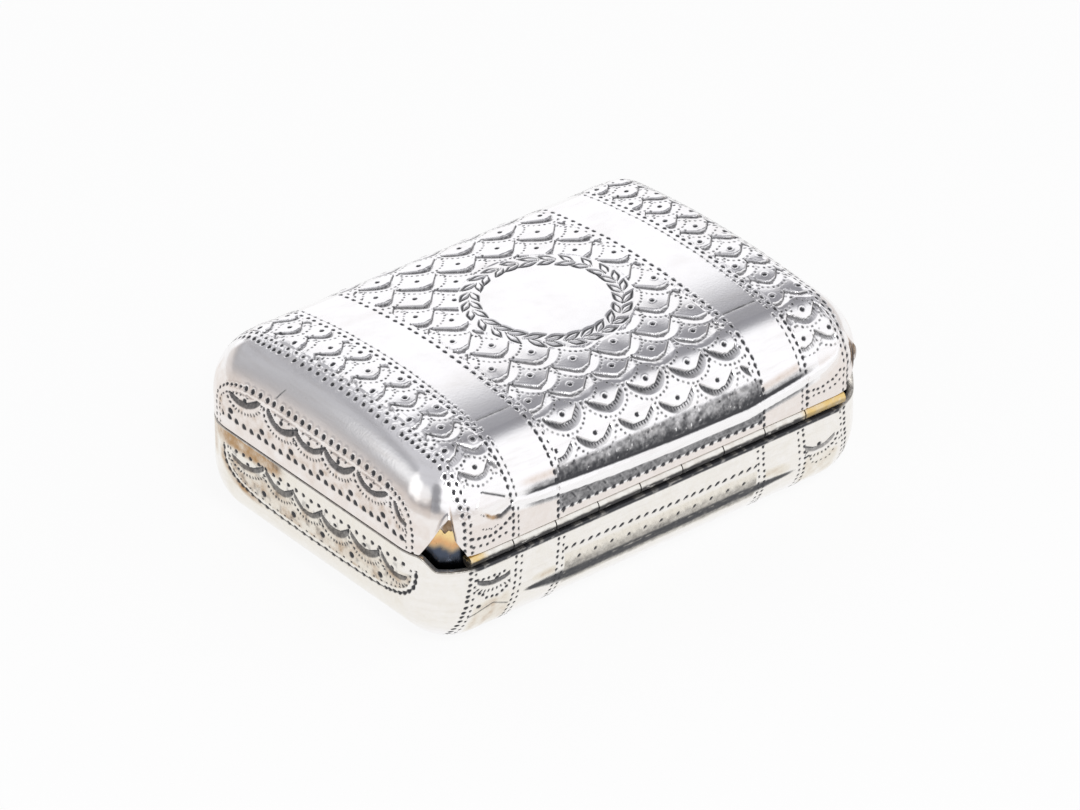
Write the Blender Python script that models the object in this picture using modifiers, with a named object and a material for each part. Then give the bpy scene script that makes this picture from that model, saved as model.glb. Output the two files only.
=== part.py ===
"""Small silver cushion box with a gilt pierced grille under its hinged lid.

The frame is in metres with +Z up. The origin is the middle of the flat underside,
+X runs along the length, the hinge lies along the +Y wall, and the lid opens at the
-Y wall. The lid and the grille both turn about lines parallel to X.
"""

import math

import bmesh
import bpy
from mathutils import Vector

MM = 0.001

# Outline and sheet, shared by the base and the lid
LENGTH = 40.0 * MM
WIDTH = 28.0 * MM
CORNER_RADIUS = 4.2 * MM
SHEET = 0.5 * MM
JOINT_GAP = 0.1 * MM
CUT_OVERRUN = 1.0 * MM
SOLDER_GAP = 0.08 * MM

# Base tray: a straight wall over a turned-in lower edge and a flat underside
BASE_HEIGHT = 8.0 * MM
BASE_SHOULDER_INSET = 3.8 * MM
BASE_SHOULDER_HEIGHT = 4.6 * MM

# Lid: a straight wall, a soft shoulder and a top that is crowned across its width
LID_WALL = 1.8 * MM
LID_SHOULDER_INSET = 3.7 * MM
LID_SHOULDER_HEIGHT = 4.0 * MM
LID_CROWN = 1.8 * MM

# Hinge roll, in a slot between the lid's edge and the lowered rim of the base
BARREL_RADIUS = 0.48 * MM
BARREL_CLEARANCE = 0.09 * MM
BARREL_END_INSET = 3.0 * MM
BORE_RADIUS = 0.28 * MM
PIN_RADIUS = 0.23 * MM
KNUCKLE_GAP = 0.1 * MM
KNUCKLE_COUNT = 9
RIM_DIP_RUN = 0.9 * MM
RIM_DIP_START = 0.25 * MM

# Pointed relief in the lid at each hinge corner
NOTCH_WIDTH = 3.3 * MM
NOTCH_HEIGHT = 3.1 * MM
NOTCH_DEPTH = 2.2 * MM
NOTCH_FACING = math.radians(49.0)
NOTCH_OUTLINE_SHARES = (
    (-0.52, 0.0),
    (-0.31, 0.36),
    (-0.09, 0.77),
    (0.10, 1.0),
    (0.16, 0.97),
    (0.23, 0.48),
    (0.47, 0.05),
)

# Gilt bezel that stands inside the wall and rises into the lid
BEZEL_SHEET = 0.4 * MM
BEZEL_CLEARANCE = 0.2 * MM
BEZEL_RISE = 2.2 * MM
BEZEL_SEAT = 2.3 * MM
BARREL_TO_BEZEL = 0.1 * MM

# Seat ring inside the bezel, and the pierced grille that rests on it
SEAT_GAP = 0.05 * MM
SEAT_WIDTH = 0.8 * MM
SEAT_SHEET = 0.4 * MM
SEAT_BELOW_RIM = 1.25 * MM
GRILLE_SHEET = 0.4 * MM
GRILLE_CLEARANCE = 0.15 * MM
GRILLE_FRONT_RADIUS = 3.0 * MM
GRILLE_REAR_RADIUS = 5.5 * MM
GRILLE_MARGIN = 1.9 * MM
FLOWER_RADIUS = 0.95 * MM
FLOWER_PITCH_X = 3.3 * MM
FLOWER_PITCH_Y = 3.2 * MM
FLOWER_LOBE_SHARE = 0.24
DOT_RADIUS = 0.4 * MM

# Hinge of the grille
GRILLE_BARREL_RADIUS = 0.36 * MM
GRILLE_BORE_RADIUS = 0.21 * MM
GRILLE_PIN_RADIUS = 0.16 * MM
GRILLE_BARREL_GAP = 0.1 * MM
GRILLE_FIXED_KNUCKLE = 3.0 * MM
GRILLE_MOVING_KNUCKLE = 7.0 * MM

# Nib on the grille's free edge
NIB_RADIUS = 1.0 * MM
NIB_HEIGHT = 0.4 * MM
NIB_INSET = 0.25 * MM

# Facet counts
CORNER_STEPS = 8
END_STEPS = 8
SHOULDER_STEPS = 6
BARREL_STEPS = 20
PIN_SIDES = 16
FLOWER_SIDES = 12
DOT_SIDES = 8
NIB_SIDES = 16

# Places that follow from the sizes above
HALF_LENGTH = LENGTH / 2
HALF_WIDTH = WIDTH / 2
LID_EDGE_Z = BASE_HEIGHT + JOINT_GAP
HINGE_RISE = BARREL_RADIUS + BARREL_CLEARANCE
HINGE_Y = HALF_WIDTH - BARREL_RADIUS
HINGE_Z = LID_EDGE_Z - HINGE_RISE
HINGE_RIM_Z = HINGE_Z - HINGE_RISE
BARREL_LENGTH = LENGTH - 2 * BARREL_END_INSET
BEZEL_INSET = SHEET + BEZEL_CLEARANCE
BEZEL_REAR_Y = HINGE_Y - BARREL_RADIUS - BARREL_TO_BEZEL
SEAT_TOP_Z = BASE_HEIGHT - SEAT_BELOW_RIM
GRILLE_LOW_Z = SEAT_TOP_Z + SEAT_GAP
GRILLE_TOP_Z = GRILLE_LOW_Z + GRILLE_SHEET
GRILLE_AXIS_Y = BEZEL_REAR_Y - BEZEL_SHEET - GRILLE_BARREL_GAP - GRILLE_BARREL_RADIUS
GRILLE_AXIS_Z = GRILLE_TOP_Z
GRILLE_REAR_Y = GRILLE_AXIS_Y - GRILLE_BARREL_RADIUS - SOLDER_GAP


def clear_scene():
    for obj in list(bpy.data.objects):
        bpy.data.objects.remove(obj, do_unlink=True)


def new_collection(name):
    collection = bpy.data.collections.new(name)
    bpy.context.scene.collection.children.link(collection)
    return collection


def metal(name, colour, roughness):
    made = bpy.data.materials.new(name)
    made.use_nodes = True
    shader = made.node_tree.nodes["Principled BSDF"]
    shader.inputs["Base Color"].default_value = (*colour, 1.0)
    shader.inputs["Metallic"].default_value = 1.0
    shader.inputs["Roughness"].default_value = roughness
    made.diffuse_color = (*colour, 1.0)
    return made


def add_mesh(name, points, faces, collection, finish=None):
    mesh = bpy.data.meshes.new(name)
    mesh.from_pydata([tuple(point) for point in points], [], faces)
    mesh.update()
    obj = bpy.data.objects.new(name, mesh)
    collection.objects.link(obj)
    if finish:
        mesh.materials.append(finish)
    return obj


def add_axis(name, y, z):
    """An empty on a joint's line, which its moving pieces are parented to."""
    empty = bpy.data.objects.new(name, None)
    empty.empty_display_size = CORNER_RADIUS
    empty.location = (0.0, y, z)
    bpy.context.scene.collection.objects.link(empty)
    bpy.context.view_layer.update()
    return empty


def hang(obj, axis):
    obj.parent = axis
    obj.matrix_parent_inverse = axis.matrix_world.inverted()


def cut(obj, cutter):
    cutter.hide_render = True
    cutter.display_type = "WIRE"
    modifier = obj.modifiers.new("cut " + cutter.name, "BOOLEAN")
    modifier.operation = "DIFFERENCE"
    modifier.solver = "EXACT"
    modifier.object = cutter


def smooth(obj):
    obj.data.shade_smooth()
    obj.data.set_sharp_from_angle(angle=math.radians(35.0))


def right_half_outline(inset):
    """The outline's +X half, from the front wall round to the hinge wall."""
    radius = max(CORNER_RADIUS - inset, SHEET / 10)
    centre_x = HALF_LENGTH - inset - radius
    centre_y = HALF_WIDTH - inset - radius
    points = []
    for step in range(CORNER_STEPS + 1):
        angle = math.pi / 2 * (step / CORNER_STEPS - 1)
        points.append(
            (centre_x + radius * math.cos(angle), -centre_y + radius * math.sin(angle))
        )
    for step in range(1, END_STEPS):
        points.append((centre_x + radius, centre_y * (2 * step / END_STEPS - 1)))
    for step in range(CORNER_STEPS + 1):
        angle = math.pi / 2 * step / CORNER_STEPS
        points.append(
            (centre_x + radius * math.cos(angle), centre_y + radius * math.sin(angle))
        )
    return points


def cushion_levels(edge_z, wall_end_z, shoulder_inset, shoulder_height, crown):
    """(inset, height, crown) of each ring, from the open edge to the closed face."""
    upwards = 1 if wall_end_z > edge_z else -1
    levels = [(0.0, edge_z, 0.0)]
    for step in range(SHOULDER_STEPS + 1):
        angle = math.pi / 2 * step / SHOULDER_STEPS
        inset = shoulder_inset * (1 - math.cos(angle))
        height = wall_end_z + upwards * shoulder_height * math.sin(angle)
        levels.append((inset, height, crown * inset / shoulder_inset))
    return levels


def cushion_shell(name, levels, collection, finish):
    """One pressed half of the box: a loft of outlines, closed across, made thick inwards."""
    points = []
    for inset, height, crown in levels:
        half = right_half_outline(inset)
        ring = half + [(-x, y) for x, y in reversed(half)]
        for x, y in ring:
            points.append(Vector((x, y, height + crown * (1 - (y / HALF_WIDTH) ** 2))))
    count = len(ring)
    faces = []
    for level in range(len(levels) - 1):
        low = level * count
        high = low + count
        for i in range(count):
            after = (i + 1) % count
            faces.append((low + i, low + after, high + after, high + i))
    last = (len(levels) - 1) * count
    for i in range(count // 2 - 1):
        mirrored = count - 1 - i
        faces.append((last + i, last + i + 1, last + mirrored - 1, last + mirrored))
    if levels[-1][1] < levels[0][1]:
        faces = [tuple(reversed(face)) for face in faces]
    obj = add_mesh(name, points, faces, collection, finish)
    smooth(obj)
    thick = obj.modifiers.new("sheet", "SOLIDIFY")
    thick.thickness = SHEET
    thick.offset = -1.0
    thick.use_even_offset = True
    return obj


def prism(name, outline, start, along, across, up, length, collection):
    """A closed bar with the given (across, up) outline, from start for a length."""
    start, along, across, up = (Vector(v) for v in (start, along, across, up))
    points = [start + across * u + up * v for u, v in outline]
    mesh = bmesh.new()
    face = mesh.faces.new([mesh.verts.new(point) for point in points])
    grown = bmesh.ops.extrude_face_region(mesh, geom=[face])
    moved = [item for item in grown["geom"] if isinstance(item, bmesh.types.BMVert)]
    bmesh.ops.translate(mesh, verts=moved, vec=along * length)
    bmesh.ops.recalc_face_normals(mesh, faces=mesh.faces)
    data = bpy.data.meshes.new(name)
    mesh.to_mesh(data)
    mesh.free()
    obj = bpy.data.objects.new(name, data)
    collection.objects.link(obj)
    return obj


def rim_dip_cutter(collection):
    """Lowers the base's rim along the hinge, with a ramp at each hinge corner."""
    high_x = HALF_LENGTH - RIM_DIP_START
    low_x = high_x - RIM_DIP_RUN
    top = BASE_HEIGHT + CUT_OVERRUN
    outline = (
        (-high_x, BASE_HEIGHT),
        (-low_x, HINGE_RIM_Z),
        (low_x, HINGE_RIM_Z),
        (high_x, BASE_HEIGHT),
        (high_x, top),
        (-high_x, top),
    )
    start_y = HALF_WIDTH - CORNER_RADIUS + SHEET
    return prism(
        "rim_dip_cutter",
        outline,
        (0, start_y, 0),
        (0, 1, 0),
        (1, 0, 0),
        (0, 0, 1),
        CORNER_RADIUS + CUT_OVERRUN,
        collection,
    )


def notch_cutter(side, collection):
    """The pointed relief of the lid at one hinge corner, seen along the corner's normal."""
    outward = Vector((side * math.cos(NOTCH_FACING), math.sin(NOTCH_FACING), 0))
    round_corner = Vector((-side * math.sin(NOTCH_FACING), math.cos(NOTCH_FACING), 0))
    outline = [
        (share_across * NOTCH_WIDTH, share_up * NOTCH_HEIGHT)
        for share_across, share_up in NOTCH_OUTLINE_SHARES
    ]
    outline.append((outline[-1][0], -CUT_OVERRUN))
    outline.append((outline[0][0], -CUT_OVERRUN))
    centre = Vector(
        (
            side * (HALF_LENGTH - CORNER_RADIUS),
            HALF_WIDTH - CORNER_RADIUS,
            LID_EDGE_Z,
        )
    )
    return prism(
        "notch_cutter_right" if side > 0 else "notch_cutter_left",
        outline,
        centre + outward * (CORNER_RADIUS - NOTCH_DEPTH),
        outward,
        round_corner,
        (0, 0, 1),
        NOTCH_DEPTH + CUT_OVERRUN,
        collection,
    )


def tube(name, centre_x, y, z, length, outer, bore, collection, finish):
    """A knuckle: a square section turned about the hinge line."""
    low = -length / 2
    high = length / 2
    mesh = bpy.data.meshes.new(name)
    corners = [(low, 0, bore), (high, 0, bore), (high, 0, outer), (low, 0, outer)]
    mesh.from_pydata(corners, [(0, 1), (1, 2), (2, 3), (3, 0)], [])
    mesh.materials.append(finish)
    obj = bpy.data.objects.new(name, mesh)
    obj.location = (centre_x, y, z)
    collection.objects.link(obj)
    turn = obj.modifiers.new("turn", "SCREW")
    turn.axis = "X"
    turn.angle = 2 * math.pi
    turn.steps = BARREL_STEPS
    turn.render_steps = BARREL_STEPS
    turn.use_merge_vertices = True
    turn.merge_threshold = PIN_RADIUS / 1000
    turn.use_smooth_shade = False
    return obj


def pin(name, y, z, length, radius, collection, finish):
    bpy.ops.mesh.primitive_cylinder_add(
        vertices=PIN_SIDES,
        radius=radius,
        depth=length,
        location=(0.0, y, z),
        rotation=(0.0, math.pi / 2, 0.0),
    )
    obj = bpy.context.object
    obj.name = name
    obj.data.name = name
    obj.data.materials.append(finish)
    for other in obj.users_collection:
        other.objects.unlink(obj)
    collection.objects.link(obj)
    smooth(obj)
    return obj


def rounded_outline(half_x, low_y, high_y, low_radius, high_radius):
    """A rectangle centred on x = 0, with its own corner radius at the front and the rear."""
    points = []
    low_x = half_x - low_radius
    high_x = half_x - high_radius
    corners = (
        (low_x, low_y + low_radius, low_radius, -math.pi / 2),
        (high_x, high_y - high_radius, high_radius, 0.0),
        (-high_x, high_y - high_radius, high_radius, math.pi / 2),
        (-low_x, low_y + low_radius, low_radius, math.pi),
    )
    for centre_x, centre_y, radius, start in corners:
        for step in range(CORNER_STEPS + 1):
            angle = start + math.pi / 2 * step / CORNER_STEPS
            points.append(
                (centre_x + radius * math.cos(angle), centre_y + radius * math.sin(angle))
            )
    return points


def flat_piece(name, outlines, low_z, high_z, collection, finish):
    """A sheet between two heights: the first outline is its edge, the others are holes."""
    curve = bpy.data.curves.new(name, "CURVE")
    curve.dimensions = "2D"
    curve.fill_mode = "BOTH"
    curve.extrude = (high_z - low_z) / 2
    for outline in outlines:
        spline = curve.splines.new("POLY")
        spline.points.add(len(outline) - 1)
        for point, (x, y) in zip(spline.points, outline):
            point.co = (x, y, 0.0, 1.0)
        spline.use_cyclic_u = True
    curve.materials.append(finish)
    obj = bpy.data.objects.new(name, curve)
    obj.location = (0.0, 0.0, (low_z + high_z) / 2)
    collection.objects.link(obj)
    return obj


def flower_hole(centre_x, centre_y):
    """A four-lobed piercing."""
    points = []
    for step in range(FLOWER_SIDES):
        angle = 2 * math.pi * step / FLOWER_SIDES
        swell = 1 - FLOWER_LOBE_SHARE * (1 - math.cos(4 * angle)) / 2
        reach = FLOWER_RADIUS * swell
        points.append(
            (centre_x + reach * math.cos(angle), centre_y + reach * math.sin(angle))
        )
    return points


def dot_hole(centre_x, centre_y):
    points = []
    for step in range(DOT_SIDES):
        angle = 2 * math.pi * (step + 1 / 2) / DOT_SIDES
        points.append(
            (
                centre_x + DOT_RADIUS * math.cos(angle),
                centre_y + DOT_RADIUS * math.sin(angle),
            )
        )
    return points


def pierced_holes(half_x, low_y, high_y):
    """Rows of four-lobed piercings, with a round one in each square between them."""
    columns = int((2 * half_x - 2 * GRILLE_MARGIN - 2 * FLOWER_RADIUS) / FLOWER_PITCH_X) + 1
    rows = int((high_y - low_y - 2 * GRILLE_MARGIN - 2 * FLOWER_RADIUS) / FLOWER_PITCH_Y) + 1
    first_x = -FLOWER_PITCH_X * (columns - 1) / 2
    first_y = (low_y + high_y) / 2 - FLOWER_PITCH_Y * (rows - 1) / 2
    holes = []
    for row in range(rows):
        for column in range(columns):
            x = first_x + FLOWER_PITCH_X * column
            y = first_y + FLOWER_PITCH_Y * row
            holes.append(flower_hole(x, y))
            if row < rows - 1 and column < columns - 1:
                holes.append(dot_hole(x + FLOWER_PITCH_X / 2, y + FLOWER_PITCH_Y / 2))
    return holes


def build_base(parts, cutters, silver):
    levels = cushion_levels(
        BASE_HEIGHT,
        BASE_SHOULDER_HEIGHT,
        BASE_SHOULDER_INSET,
        BASE_SHOULDER_HEIGHT,
        0.0,
    )
    shell = cushion_shell("base_shell", levels, parts, silver)
    cut(shell, rim_dip_cutter(cutters))


def build_bezel(parts, gilt):
    front_y = BEZEL_INSET - HALF_WIDTH
    outer_x = HALF_LENGTH - BEZEL_INSET
    outer_radius = CORNER_RADIUS - BEZEL_INSET
    inner_radius = outer_radius - BEZEL_SHEET
    outer = rounded_outline(outer_x, front_y, BEZEL_REAR_Y, outer_radius, outer_radius)
    inner = rounded_outline(
        outer_x - BEZEL_SHEET,
        front_y + BEZEL_SHEET,
        BEZEL_REAR_Y - BEZEL_SHEET,
        inner_radius,
        inner_radius,
    )
    low_z = BASE_HEIGHT - BEZEL_SEAT
    high_z = BASE_HEIGHT + BEZEL_RISE
    flat_piece("base_bezel", (outer, inner), low_z, high_z, parts, gilt)


def build_seat(parts, gilt):
    inset = BEZEL_INSET + BEZEL_SHEET + SEAT_GAP
    edge_x = HALF_LENGTH - inset
    front_y = inset - HALF_WIDTH
    rear_y = BEZEL_REAR_Y - BEZEL_SHEET - SEAT_GAP
    radius = CORNER_RADIUS - inset
    outer = rounded_outline(edge_x, front_y, rear_y, radius, radius)
    inner = rounded_outline(
        edge_x - SEAT_WIDTH,
        front_y + SEAT_WIDTH,
        rear_y - SEAT_WIDTH,
        radius - SEAT_WIDTH,
        GRILLE_REAR_RADIUS,
    )
    low_z = SEAT_TOP_Z - SEAT_SHEET
    flat_piece("grille_seat", (outer, inner), low_z, SEAT_TOP_Z, parts, gilt)


def build_lid(parts, cutters, silver, axis):
    levels = cushion_levels(
        LID_EDGE_Z,
        LID_EDGE_Z + LID_WALL,
        LID_SHOULDER_INSET,
        LID_SHOULDER_HEIGHT,
        LID_CROWN,
    )
    shell = cushion_shell("lid_shell", levels, parts, silver)
    for side in (1, -1):
        cut(shell, notch_cutter(side, cutters))
    hang(shell, axis)


def build_hinge(parts, silver, axis):
    """Odd knuckles belong to the base and even ones to the lid, all on one pin."""
    pitch = BARREL_LENGTH / KNUCKLE_COUNT
    for index in range(KNUCKLE_COUNT):
        on_lid = index % 2 == 1
        owner = "lid" if on_lid else "base"
        knuckle = tube(
            f"{owner}_knuckle_{index // 2 + 1}",
            pitch * (index - (KNUCKLE_COUNT - 1) / 2),
            HINGE_Y,
            HINGE_Z,
            pitch - KNUCKLE_GAP,
            BARREL_RADIUS,
            BORE_RADIUS,
            parts,
            silver,
        )
        if on_lid:
            hang(knuckle, axis)
    pin_length = BARREL_LENGTH - KNUCKLE_GAP
    pin("hinge_pin", HINGE_Y, HINGE_Z, pin_length, PIN_RADIUS, parts, silver)


def build_grille(parts, gilt, axis):
    inset = BEZEL_INSET + BEZEL_SHEET + GRILLE_CLEARANCE
    edge_x = HALF_LENGTH - inset
    front_y = inset - HALF_WIDTH
    outline = rounded_outline(
        edge_x, front_y, GRILLE_REAR_Y, GRILLE_FRONT_RADIUS, GRILLE_REAR_RADIUS
    )
    holes = pierced_holes(edge_x, front_y, GRILLE_REAR_Y)
    plate = flat_piece(
        "grille_plate", [outline] + holes, GRILLE_LOW_Z, GRILLE_TOP_Z, parts, gilt
    )
    nib_y = front_y + NIB_INSET
    nib_outline = []
    for step in range(NIB_SIDES + 1):
        angle = math.pi * step / NIB_SIDES
        nib_outline.append(
            (NIB_RADIUS * math.cos(angle), nib_y + NIB_RADIUS * math.sin(angle))
        )
    nib_low_z = GRILLE_TOP_Z + SEAT_GAP
    nib = flat_piece(
        "grille_nib", [nib_outline], nib_low_z, nib_low_z + NIB_HEIGHT, parts, gilt
    )
    for obj in (plate, nib):
        hang(obj, axis)


def build_grille_hinge(parts, gilt, axis):
    """One moving knuckle between two fixed ones, on a pin of their whole length."""
    side_x = (GRILLE_MOVING_KNUCKLE + GRILLE_FIXED_KNUCKLE) / 2
    knuckles = (
        ("grille_lug_left", -side_x, GRILLE_FIXED_KNUCKLE),
        ("grille_knuckle", 0.0, GRILLE_MOVING_KNUCKLE),
        ("grille_lug_right", side_x, GRILLE_FIXED_KNUCKLE),
    )
    for name, centre_x, length in knuckles:
        knuckle = tube(
            name,
            centre_x,
            GRILLE_AXIS_Y,
            GRILLE_AXIS_Z,
            length - KNUCKLE_GAP,
            GRILLE_BARREL_RADIUS,
            GRILLE_BORE_RADIUS,
            parts,
            gilt,
        )
        if name == "grille_knuckle":
            hang(knuckle, axis)
    pin_length = GRILLE_MOVING_KNUCKLE + 2 * GRILLE_FIXED_KNUCKLE - KNUCKLE_GAP
    pin(
        "grille_pin",
        GRILLE_AXIS_Y,
        GRILLE_AXIS_Z,
        pin_length,
        GRILLE_PIN_RADIUS,
        parts,
        gilt,
    )


def main():
    clear_scene()
    parts = new_collection("Silver box")
    cutters = new_collection("Cutters")
    silver = metal("silver", (0.86, 0.85, 0.84), 0.2)
    gilt = metal("gilt", (0.88, 0.64, 0.28), 0.25)
    lid_axis = add_axis("lid_axis", HINGE_Y, HINGE_Z)
    grille_axis = add_axis("grille_axis", GRILLE_AXIS_Y, GRILLE_AXIS_Z)
    build_base(parts, cutters, silver)
    build_bezel(parts, gilt)
    build_seat(parts, gilt)
    build_lid(parts, cutters, silver, lid_axis)
    build_hinge(parts, silver, lid_axis)
    build_grille(parts, gilt, grille_axis)
    build_grille_hinge(parts, gilt, grille_axis)


main()
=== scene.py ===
"""Looks of a small cushion-shaped silver box with an engraved lid, a gilt inside and a pierced grille.

Lengths are in millimetres here, and a mesh gets its points in metres. The lid and the base are
sheets that run round a rectangular core: a point on them is told by its distance w along the
outline and by its arc length t down the section. Every vertex also knows its place on the
engraver's pattern, and the cuts, punched dots, tarnish, painted shade and painted reflections
are worked out from that place.
"""

import bpy
import numpy as np
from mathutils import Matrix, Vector


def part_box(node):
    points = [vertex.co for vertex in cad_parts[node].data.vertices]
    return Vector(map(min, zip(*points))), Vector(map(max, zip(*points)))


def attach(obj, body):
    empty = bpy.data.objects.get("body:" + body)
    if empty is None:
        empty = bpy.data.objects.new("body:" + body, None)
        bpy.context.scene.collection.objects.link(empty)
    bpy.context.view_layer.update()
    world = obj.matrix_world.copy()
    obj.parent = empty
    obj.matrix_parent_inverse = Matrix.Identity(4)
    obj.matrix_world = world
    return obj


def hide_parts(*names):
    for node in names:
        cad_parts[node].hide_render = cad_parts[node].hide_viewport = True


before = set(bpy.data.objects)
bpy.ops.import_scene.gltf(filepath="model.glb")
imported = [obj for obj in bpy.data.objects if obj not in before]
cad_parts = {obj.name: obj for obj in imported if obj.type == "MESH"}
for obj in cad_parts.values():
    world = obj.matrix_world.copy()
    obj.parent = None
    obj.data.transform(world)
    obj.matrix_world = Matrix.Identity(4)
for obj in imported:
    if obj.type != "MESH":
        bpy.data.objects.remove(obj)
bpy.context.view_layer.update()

MM = 0.001


def node_box(node):
    """Lowest and highest corner of a node at rest, in millimetres."""
    low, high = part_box(node)
    return np.array(low) / MM, np.array(high) / MM


LID_LOW, LID_HIGH = node_box("lid_shell")
BASE_LOW, BASE_HIGH = node_box("base_shell")
BEZEL_LOW, BEZEL_HIGH = node_box("base_bezel")

# Plan of the box, which both halves share
CORNER_RADIUS = 4.2
CORE_X = LID_HIGH[0] - CORNER_RADIUS
CORE_Y = LID_HIGH[1] - CORNER_RADIUS
QUARTER = CORNER_RADIUS * np.pi / 2
SHEET = 0.5

# Lid section
LID_EDGE_Z = LID_LOW[2]
LID_WALL = 1.8
LID_SHOULDER_INSET = 3.7
LID_CROWN = 1.8
LID_SHOULDER_HEIGHT = LID_HIGH[2] - LID_CROWN - LID_WALL - LID_EDGE_Z

# Base section, its rim, which is lower along the hinge, and where the painted shade along that part fades
# out
BASE_RIM_Z = 8.0
BASE_HINGE_RIM_Z = 6.96
BASE_DIP_FROM = 18.85
BASE_DIP_TO = 19.75
BASE_SHOULDER_INSET = 3.8
BASE_SHOULDER_HEIGHT = 4.6
RIM_SHADE_FADE = (16.2, 17.0)

# Pointed relief at each hinge corner of the lid, facing between the end and the hinge side
NOTCH_FACING = np.radians(49.0)
NOTCH_WIDTH = 3.3
NOTCH_HEIGHT = 3.1
NOTCH_PLACE_SHARES = (-0.52, -0.31, -0.09, 0.10, 0.16, 0.23, 0.47)
NOTCH_RISE_SHARES = (0.0, 0.36, 0.77, 1.0, 0.97, 0.48, 0.05)

# Gilt bezel
BEZEL_SHEET = 0.4
BEZEL_RADIUS = 3.5
BEZEL_ROUND = 0.16

# Mesh pitch of the engraved skins and of the plain linings, where the skins meet, the rounding of
# their edges, and the steps to a millimetre in which points count as the same one
SKIN_PITCH = 0.08
LINING_PITCH = 0.35
SPLIT_X = 11.1
EDGE_ROUND = 0.06
WELD_KEYS = 20000

# Bands and borders of the pattern, as distances from the middle along the box
PANEL_HALF = 9.33
BAND_OUTER = 12.83
CORNER_LINE_TOP = 17.34
CORNER_LINE_RIM = 17.27

# Fish scales: a tongue with three straight facets, a dished crescent round it and prick dots
SCALE_PITCH = 3.65
ROW_PITCH = 2.15
FIRST_ROW = -16.35
TONGUE_PLACES = np.array((-1.0, -0.38, 0.05, 0.33, 1.0))
TONGUE_DEPTHS = np.array((0.0, 0.87, 1.0, 0.88, 0.0))
LEFT_BAND_ROWS = ((-12.2, -8.6, -4.0, 0.3, 4.45, 8.4, 12.2), (-10.4, -6.4, -2.0, 2.45, 6.5, 10.4))
RIGHT_BAND_ROWS = ((-12.2, -8.2, -4.4, -0.5, 3.35, 7.12, 11.3), (-10.2, -6.3, -2.4, 1.4, 5.26, 9.4, 13.0))

# Pitches of the marks round a scale
PRICK_PITCH = 0.34
TICK_PITCH = 0.27
ARM_PITCH = 0.36

# End panels: half width, height, steepness and centre level of each arched border, six scales as
# the dot's place, half width, tongue, reach and tilt, and the places of the large dots under them
LID_ARCH = (11.1, 3.5, 4.6, 7.8)
LID_END_SCALES = (
    (-7.75, 5.23, 1.72, 0.46, 0.98, -0.2), (-3.6, 5.12, 1.8, 0.66, 1.16, 0.03),
    (-0.45, 5.22, 1.62, 0.56, 1.0, -0.02), (2.85, 5.1, 1.68, 0.56, 1.12, 0.0),
    (6.55, 5.15, 1.72, 0.6, 1.03, 0.02), (9.75, 5.72, 1.25, 0.3, 0.75, 0.72),
)
LID_END_DOTS = (-9.2, -5.6, -2.25, 1.2, 4.5, 8.1)
BASE_ARCH = (10.75, 3.45, 3.6, 0.9)
BASE_END_SCALES = (
    (-7.3, 1.7, 1.9, 0.55, 1.0, -0.19), (-3.7, 1.42, 1.65, 0.85, 1.48, 0.06),
    (-0.4, 1.7, 1.65, 0.9, 1.3, -0.04), (2.7, 1.72, 1.6, 0.68, 1.4, -0.09),
    (6.0, 1.65, 1.65, 0.7, 1.35, 0.0), (9.1, 1.95, 1.45, 0.5, 1.0, 0.3),
)
BASE_END_DOTS = (-8.9, -5.5, -2.1, 1.2, 4.5, 7.7)

# Rows of dots past both ends of the bead: corners on x and t, pitch, size, darkness and seed
LID_CORNER_DOTS = (
    (((15.95, 5.4), (15.35, 5.72)), 0.15, 0.12, 0.9, 3),
    (((15.9, 6.5), (15.2, 6.75), (14.4, 6.62)), 0.26, 0.18, 0.9, 9),
    (((16.75, 7.05), (15.3, 7.28), (14.4, 7.05), (13.45, 6.5)), 0.48, 0.36, 0.95, 5),
    (((16.7, 7.75), (15.4, 7.8), (13.5, 7.5)), 0.55, 0.3, 0.9, 6),
    (((-13.4, 7.0), (-14.6, 7.05), (-15.8, 6.8), (-16.7, 6.1)), 0.45, 0.3, 0.9, 7),
    (((-13.4, 7.5), (-15.6, 7.45), (-16.6, 6.9)), 0.5, 0.26, 0.85, 8),
)

# Bead along the hinge wall: places along the box, distances down from the core, half widths
BEAD_X = (-16.8, -16.1, -15.0, -12.5, -7.9, -1.85, 4.3, 9.0, 12.85, 13.5)
BEAD_T = (4.5, 5.15, 5.6, 6.02, 6.6, 6.53, 6.25, 5.93, 5.6, 5.6)
BEAD_HALF = (0.02, 0.2, 0.32, 0.4, 0.42, 0.44, 0.46, 0.42, 0.3, 0.02)
BEAD_HEIGHT = 0.1

# Wreath round the plain cartouche
WREATH_X = -0.65
WREATH_S = 0.42
WREATH_RADIUS = 5.4
WREATH_CLEAR = 6.3
LEAF_COUNT = 25
LEAF_HALF_LENGTH = 0.86
LEAF_HALF_WIDTH = 0.25

# Camera, fitted to the photograph
CAMERA_BACK = Vector((0.5345, 0.6578, 0.5307)).normalized()
CAMERA_RIGHT = Vector((-0.7761, 0.6306, 0.0)).normalized()
CAMERA_AIM = Vector((0.0, 0.0, 8.05))
CAMERA_SHIFT_RIGHT = 0.334
CAMERA_SHIFT_UP = -0.995
CAMERA_DISTANCE = 500.0
CAMERA_LENS = 235.5
SENSOR_WIDTH = 36.0

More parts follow.
